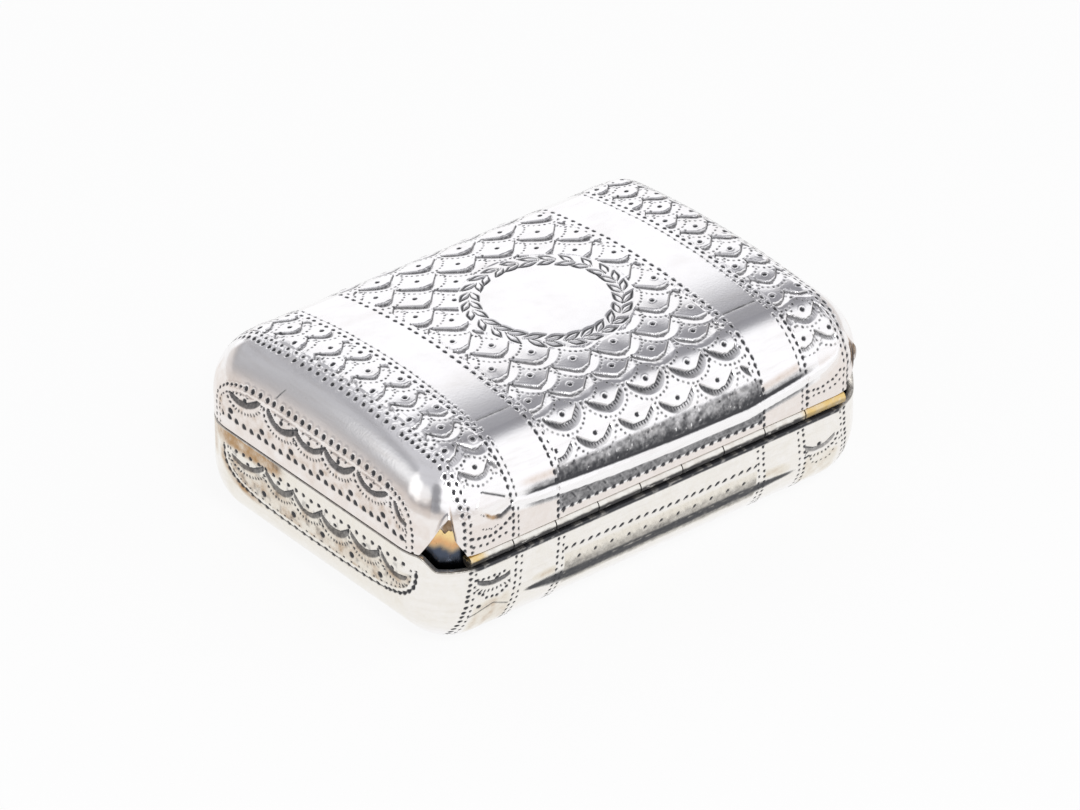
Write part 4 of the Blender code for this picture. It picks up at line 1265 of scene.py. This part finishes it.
class Shop:
    """One node tree, with one method that adds any node to it."""

    def __init__(self, tree):
        self.tree = tree
        tree.nodes.clear()

    def add(self, kind, settings=None, sockets=None, output=0):
        """A node of a kind: its settings are made first, then its sockets get values or links."""
        node = self.tree.nodes.new(kind)
        for name, value in (settings or {}).items():
            if name == "stops":
                self.fill_ramp(node.color_ramp, value)
            else:
                setattr(node, name, value)
        for name, value in (sockets or {}).items():
            if isinstance(value, Link):
                self.tree.links.new(value.socket, node.inputs[name])
            else:
                node.inputs[name].default_value = value
        return Link(self, node.outputs[output]) if node.outputs else node

    def fill_ramp(self, ramp, stops):
        """Set a colour ramp's stops, given as place and colour."""
        while len(ramp.elements) < len(stops):
            ramp.elements.new(1.0)
        for element, (place, colour) in zip(ramp.elements, stops):
            element.position = place
            element.color = colour

    def math(self, operation, first, second):
        return self.add("ShaderNodeMath", {"operation": operation}, {0: first, 1: second})

    def step(self, value, low, high):
        """Smooth step of a value between two levels."""
        kind = {"interpolation_type": "SMOOTHSTEP"}
        return self.add("ShaderNodeMapRange", kind, {"Value": value, "From Min": low, "From Max": high})

    def blend(self, share, first, second):
        """A colour between two colours."""
        return self.add("ShaderNodeMix", {"data_type": "RGBA"}, {0: share, 6: first, 7: second}, output=2)

    def attribute(self, name):
        return self.add("ShaderNodeAttribute", {"attribute_name": name}, output=2)

    def place(self):
        return self.add("ShaderNodeTexCoord", output=3)

    def axis(self, index):
        """One coordinate of the piece's own place, in millimetres."""
        return self.add("ShaderNodeSeparateXYZ", None, {0: self.place()}, output=index) * (1 / MM)

    def noise(self, scale, detail=4.0, roughness=0.5, stretch=None):
        """Noise on the piece's own place, scale in waves per metre, drawn out by stretch."""
        where = self.place()
        if stretch:
            where = self.add("ShaderNodeMapping", None, {"Vector": where, "Scale": stretch})
        sockets = {"Vector": where, "Scale": scale, "Detail": detail, "Roughness": roughness}
        return self.add("ShaderNodeTexNoise", None, sockets)


def new_finish(name):
    material = bpy.data.materials.new(name)
    material.use_nodes = True
    return material, Shop(material.node_tree)


def finish_off(shop, colour, roughness, metallic, relief, strength):
    """Close a finish with its fine relief, its shader and the output."""
    heights = {"Strength": strength, "Distance": BUMP_DISTANCE, "Height": relief}
    shader = shop.add("ShaderNodeBsdfPrincipled", None, {
        "Base Color": colour, "Roughness": roughness, "Metallic": metallic,
        "Normal": shop.add("ShaderNodeBump", None, heights),
    })
    shop.add("ShaderNodeOutputMaterial", None, {"Surface": shader})


def engraved_silver():
    """Polished silver, bright where nothing darkens it, with grey-brown tarnish lying in the cuts and
    painted shade and dark reflections from the darkening attribute, and cream, pink and brown from the warm
    one.
    """
    material, shop = new_finish("engraved_silver")
    tarnish = shop.attribute("tarnish")
    warmth = shop.attribute("warmth")
    mottle = shop.noise(900.0, 5.0, 0.6)
    fine = shop.noise(6000.0, 3.0, 0.6)
    middle = shop.noise(2600.0, 4.0, 0.65)
    half_tone = tarnish * (1.0 - tarnish) * 4.0
    streak = shop.noise(450.0, 3.0, 0.6, (0.6, 0.6, 7.0))
    # Darkening from tarnish in the cuts and from painted shade and dark reflections, with some noise.
    dirt_and_shade = shop.step(tarnish + (fine - 0.5) * 0.2 + (middle - 0.5) * half_tone * 0.5, 0.06, 0.95)
    film = shop.step(mottle, 0.45, 0.75) * 0.08 + shop.step(streak, 0.42, 0.8) * 0.34
    bright = shop.blend(film, POLISHED, FILMED)
    uneven = warmth + (middle - 0.5) * warmth * 0.8 + (mottle - 0.5) * warmth * 0.6
    # Light warm tint gives a cream cast on the base and a pink one on the lid: the silver's warm tone, with
    # the floor's tone seen in the walls painted in.
    cast = shop.blend(shop.step(shop.axis(2), 7.9, 8.1), BASE_CAST, LID_CAST)
    cream = shop.blend(shop.step(uneven, 0.0, 0.36) * 0.8, bright, cast)
    warm = shop.blend(shop.step(uneven, 0.28, 1.0), cream, BROWN)
    colour = shop.blend(dirt_and_shade, warm, DARK_TARNISH_AND_SHADE)
    roughness = 0.1 + 0.06 * mottle + 0.35 * dirt_and_shade
    relief = streak * 0.6 + fine + middle * half_tone * 3.0
    finish_off(shop, colour, roughness, 1.0 - 0.5 * dirt_and_shade, relief, 0.06)
    return material


def roll_silver():
    """Silver of the hinge roll: cream and worn above its middle, and black below it with grime and painted
    shade.
    """
    material, shop = new_finish("roll_silver")
    along = shop.axis(0)
    mottle = shop.noise(1500.0, 4.0, 0.6)
    grain = shop.noise(4200.0, 3.0, 0.6, (0.35, 1.0, 1.0))
    # The black lower half is grime and painted shade; the bright specks left in it are painted glints.
    low = 1.0 - shop.step(shop.axis(2) + (grain - 0.5) * 0.25, 7.52, 7.72)
    glint = shop.step(grain, 0.6, 0.68) * low
    right_end = 1.0 - shop.step(along, -13.6, -12.6)
    left_end = shop.step(along, 15.2, 16.2)
    yellow = (right_end + left_end) * (0.65 + 0.35 * shop.step(mottle, 0.35, 0.6))
    dirt_and_shade = low * (1.0 - glint * 0.6) * (1.0 - 0.55 * right_end) * 0.97
    film = shop.step(mottle, 0.42, 0.7) * 0.35
    worn = shop.blend(film, ROLL_CREAM, ROLL_DULL)
    gilded = shop.blend(yellow, worn, ROLL_YELLOW)
    colour = shop.blend(dirt_and_shade, gilded, ROLL_GRIME_AND_SHADE)
    finish_off(shop, colour, 0.3 + 0.25 * dirt_and_shade, 1.0 - 0.4 * dirt_and_shade, mottle + grain, 0.12)
    return material


def soft_gilt():
    """Gilding: yellow with a pale worn cast in places and small dark specks, and painted orange reflection
    and blue-black painted shade where the bezel's attributes give them.
    """
    material, shop = new_finish("soft_gilt")
    tarnish = shop.attribute("tarnish")
    warmth = shop.attribute("warmth")
    mottle = shop.noise(400.0, 5.0, 0.6)
    speck = shop.step(shop.noise(5000.0, 3.0, 0.6), 0.6, 0.74)
    worn = shop.step(mottle, 0.4, 0.75)
    gold = shop.blend(worn, GOLD, PALE_GOLD)
    orange = shop.blend(warmth, gold, REFLECTED_ORANGE)
    tinted = shop.blend(tarnish, orange, SHADED_BLUE)
    colour = shop.blend(speck * 0.55, tinted, DARK_SPECK)
    finish_off(shop, colour, 0.22 + 0.12 * worn + 0.2 * speck, 1.0, mottle, 0.08)
    return material


# Room

def direction(azimuth, elevation):
    """Unit vector towards an azimuth, counted from +X towards +Y, and an elevation."""
    a, e = np.radians(azimuth), np.radians(elevation)
    return (float(np.cos(a) * np.cos(e)), float(np.sin(a) * np.cos(e)), float(np.sin(e)))


def make_world():
    """A white tent with a few grey cards in it, as a studio has round small silver."""
    world = bpy.data.worlds.new("tent")
    bpy.context.scene.world = world
    world.use_nodes = True
    shop = Shop(world.node_tree)
    towards = shop.add("ShaderNodeTexCoord", output=0)

    def near(azimuth, elevation, inner, outer):
        """1 within inner degrees of a direction and 0 beyond outer degrees."""
        sockets = {0: towards, 1: direction(azimuth, elevation)}
        dotted = shop.add("ShaderNodeVectorMath", {"operation": "DOT_PRODUCT"}, sockets, output=1)
        return shop.step(dotted, float(np.cos(np.radians(outer))), float(np.cos(np.radians(inner))))

    height = shop.add("ShaderNodeSeparateXYZ", None, {0: towards}, output=2)
    uneven = shop.add("ShaderNodeTexNoise", None, {"Vector": towards, "Scale": 5.0, "Detail": 2.0})
    level = height + (uneven - 0.5) * 0.14
    colour = shop.add("ShaderNodeValToRGB", {"stops": TENT_TONES}, {0: level})
    for azimuth, elevation, inner, outer, tone in TENT_CARDS:
        colour = shop.blend(near(azimuth, elevation, inner, outer), colour, tone)
    seen = shop.add("ShaderNodeLightPath", output=0)
    colour = shop.blend(seen, colour, (1.0, 1.0, 1.0, 1))
    background = shop.add("ShaderNodeBackground", None, {"Color": colour, "Strength": 1.0})
    shop.add("ShaderNodeOutputWorld", None, {"Surface": background})


def make_floor():
    """A plain pale floor that keeps the box's shadow."""
    mesh = bpy.data.meshes.new("floor")
    half = FLOOR_HALF * MM
    z = -FLOOR_DROP * MM
    corners = [(-half, -half, z), (half, -half, z), (half, half, z), (-half, half, z)]
    mesh.from_pydata(corners, [], [(0, 1, 2, 3)])
    floor = bpy.data.objects.new("floor", mesh)
    bpy.context.scene.collection.objects.link(floor)
    material, shop = new_finish("pale_floor")
    cloth = shop.noise(300.0, 3.0, 0.5)
    colour = shop.blend(cloth * 0.05, (0.93, 0.93, 0.92, 1), (0.88, 0.88, 0.87, 1))
    paper = shop.add("ShaderNodeBsdfDiffuse", None, {"Color": colour})
    white = shop.add("ShaderNodeEmission", None, {"Color": (1, 1, 1, 1), "Strength": 1.0})
    seen = shop.add("ShaderNodeLightPath", output=0)
    mirrored = shop.add("ShaderNodeLightPath", output=3)
    glow = (seen + mirrored) * FLOOR_GLOW
    mixed = shop.add("ShaderNodeMixShader", None, {0: glow, 1: paper, 2: white})
    shop.add("ShaderNodeOutputMaterial", None, {"Surface": mixed})
    mesh.materials.append(material)


def make_lamp():
    """One large soft lamp over the hinge side, for the brightest glints."""
    data = bpy.data.lights.new("soft_lamp", "AREA")
    data.shape = "DISK"
    data.size = LAMP_SIZE * MM
    data.energy = LAMP_POWER
    lamp = bpy.data.objects.new("soft_lamp", data)
    lamp.location = LAMP_PLACE * MM
    lamp.rotation_euler = (LAMP_AIM - LAMP_PLACE).to_track_quat("-Z", "Y").to_euler()
    bpy.context.scene.collection.objects.link(lamp)


def make_camera():
    """The photograph's view: a long lens half a metre away."""
    data = bpy.data.cameras.new("view")
    data.sensor_width = SENSOR_WIDTH
    data.lens = CAMERA_LENS
    camera = bpy.data.objects.new("view", data)
    up = CAMERA_BACK.cross(CAMERA_RIGHT)
    target = CAMERA_AIM + CAMERA_RIGHT * CAMERA_SHIFT_RIGHT + up * CAMERA_SHIFT_UP
    camera.location = (target + CAMERA_BACK * CAMERA_DISTANCE) * MM
    camera.rotation_euler = (-CAMERA_BACK).to_track_quat("-Z", "Y").to_euler()
    bpy.context.scene.collection.objects.link(camera)
    bpy.context.scene.camera = camera


def dress_cad(silver, gilt):
    """Give every CAD node that still shows its finish."""
    silver_nodes = ["hinge_pin"] + [f"base_knuckle_{n}" for n in range(1, 6)]
    silver_nodes += [f"lid_knuckle_{n}" for n in range(1, 5)]
    gilt_nodes = ["grille_seat", "grille_lug_left", "grille_lug_right", "grille_pin"]
    gilt_nodes += ["grille_plate", "grille_nib", "grille_knuckle"]
    for names, material in ((silver_nodes, silver), (gilt_nodes, gilt)):
        for name in names:
            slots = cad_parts[name].material_slots
            if not slots:
                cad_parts[name].data.materials.append(material)
            for one in slots:
                one.material = material


def main():
    silver = engraved_silver()
    roll = roll_silver()
    gilt = soft_gilt()
    make_lid(silver, gilt)
    make_base(silver, gilt)
    make_bezel(gilt)
    dress_cad(roll, gilt)
    make_world()
    make_floor()
    make_lamp()
    make_camera()
    bpy.context.scene.view_settings.view_transform = "Standard"


main()
